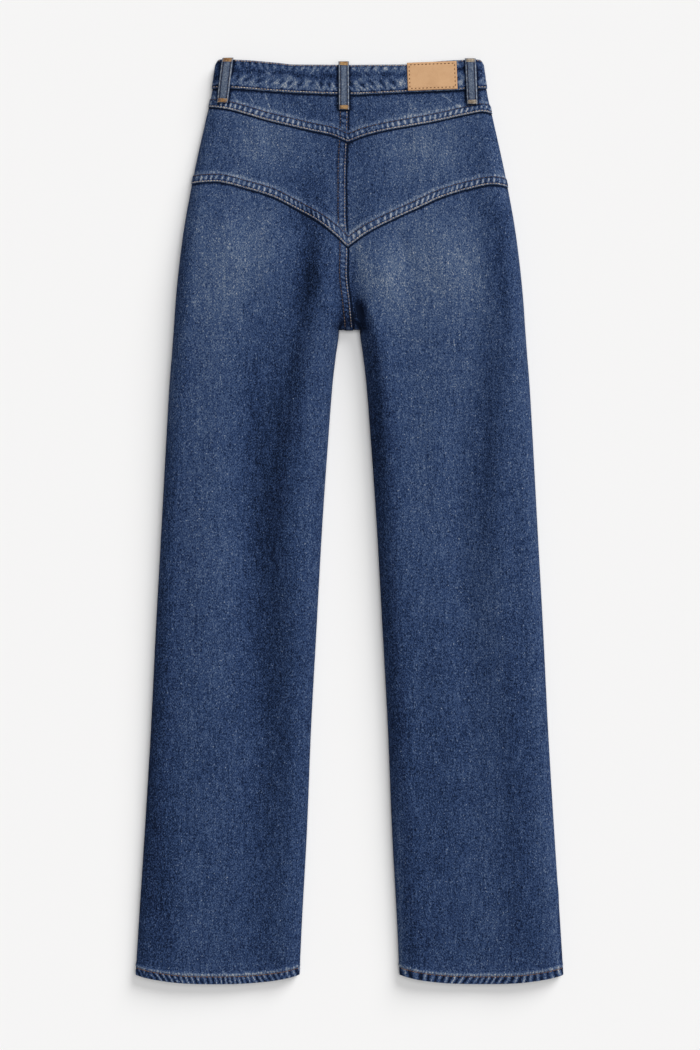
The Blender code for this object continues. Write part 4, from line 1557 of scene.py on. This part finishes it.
def slab(bm, centre, size, rounding):
    """A block with rounded edges. All three are in millimetres."""
    place = Matrix.Translation(Vector(centre) * MM) @ Matrix.Diagonal((*(Vector(size) * MM), 1))
    block = bmesh.ops.create_cube(bm, size=1, matrix=place)
    edges = {edge for vert in block["verts"] for edge in vert.link_edges}
    bmesh.ops.bevel(
        bm,
        geom=list(edges),
        offset=rounding * MM,
        segments=2,
        profile=0.5,
        affect="EDGES",
        material=-1,
    )


aged_brass = brass("aged_brass")
zip_middle = TOP_Y - (ZIP_TOP + ZIP_BOTTOM) / 2
tape_bm = bmesh.new()
tape_size = (2 * ZIP_HALF_WIDTH, ZIP_BOTTOM - ZIP_TOP, ZIP_CLOTH)
slab(tape_bm, (0, zip_middle, ZIP_FLOOR + ZIP_CLOTH / 2), tape_size, TAPE_ROUND)
finish_piece(tape_bm, "fly_zip", denim("zip_tape", -0.12), ["fly_zip"])
teeth_bm = bmesh.new()
first_tooth = ZIP_TOP + SLIDER_LENGTH + 2
for number in range(int((ZIP_BOTTOM - 4 - first_tooth) / TOOTH_PITCH)):
    y = TOP_Y - first_tooth - number * TOOTH_PITCH
    for side in (-1, 1):
        centre = (side * TOOTH_ACROSS, y - (side > 0) * TOOTH_PITCH / 2, ZIP_FLOOR + ZIP_CLOTH + 0.55)
        slab(teeth_bm, centre, TOOTH_SIZE, TOOTH_ROUND)
finish_piece(teeth_bm, "zip_teeth", aged_brass)
slider_bm = bmesh.new()
slider_floor = ZIP_FLOOR + ZIP_CLOTH + SEAM_GAP
slider_top = TOP_Y - ZIP_TOP - SEAM_GAP
for block in SLIDER_BLOCKS:
    centre = (0, slider_top - block.below, slider_floor + block.above)
    slab(slider_bm, centre, block.size, block.rounding)
finish_piece(slider_bm, "fly_slider", aged_brass, ["fly_slider"])


# Fly button
# A brass jeans button with a raised rim and a domed middle, riveted through the waistband's left end. Its
# head faces the ground.
BUTTON_HEAD = 1.5
BUTTON_ROUND = 0.35
# The rings of the head, from its rim inwards: how far each is inset, and how far it then stands out
BUTTON_RINGS = ((0.6, BUTTON_ROUND), (1.3, 0.0), (0.65, -0.35), (1.7, 0.13), (2.1, 0.1))
button_bm = bmesh.new()
button_z = SEAM_GAP + BUTTON_ROUND + (BUTTON_HEAD - BUTTON_ROUND) / 2
bmesh.ops.create_cone(
    button_bm,
    cap_ends=True,
    segments=48,
    radius1=BUTTON_RADIUS * MM,
    radius2=BUTTON_RADIUS * MM,
    depth=(BUTTON_HEAD - BUTTON_ROUND) * MM,
    matrix=Matrix.Translation(Vector((BUTTON_ACROSS, TOP_Y - BUTTON_DOWN, button_z)) * MM),
)
head = min(button_bm.faces, key=lambda face: face.calc_center_median().z)
for inset, out in BUTTON_RINGS:
    bmesh.ops.inset_individual(button_bm, faces=[head], thickness=inset * MM, depth=out * MM)
finish_piece(button_bm, "fly_button", aged_brass, ["fly_button"])
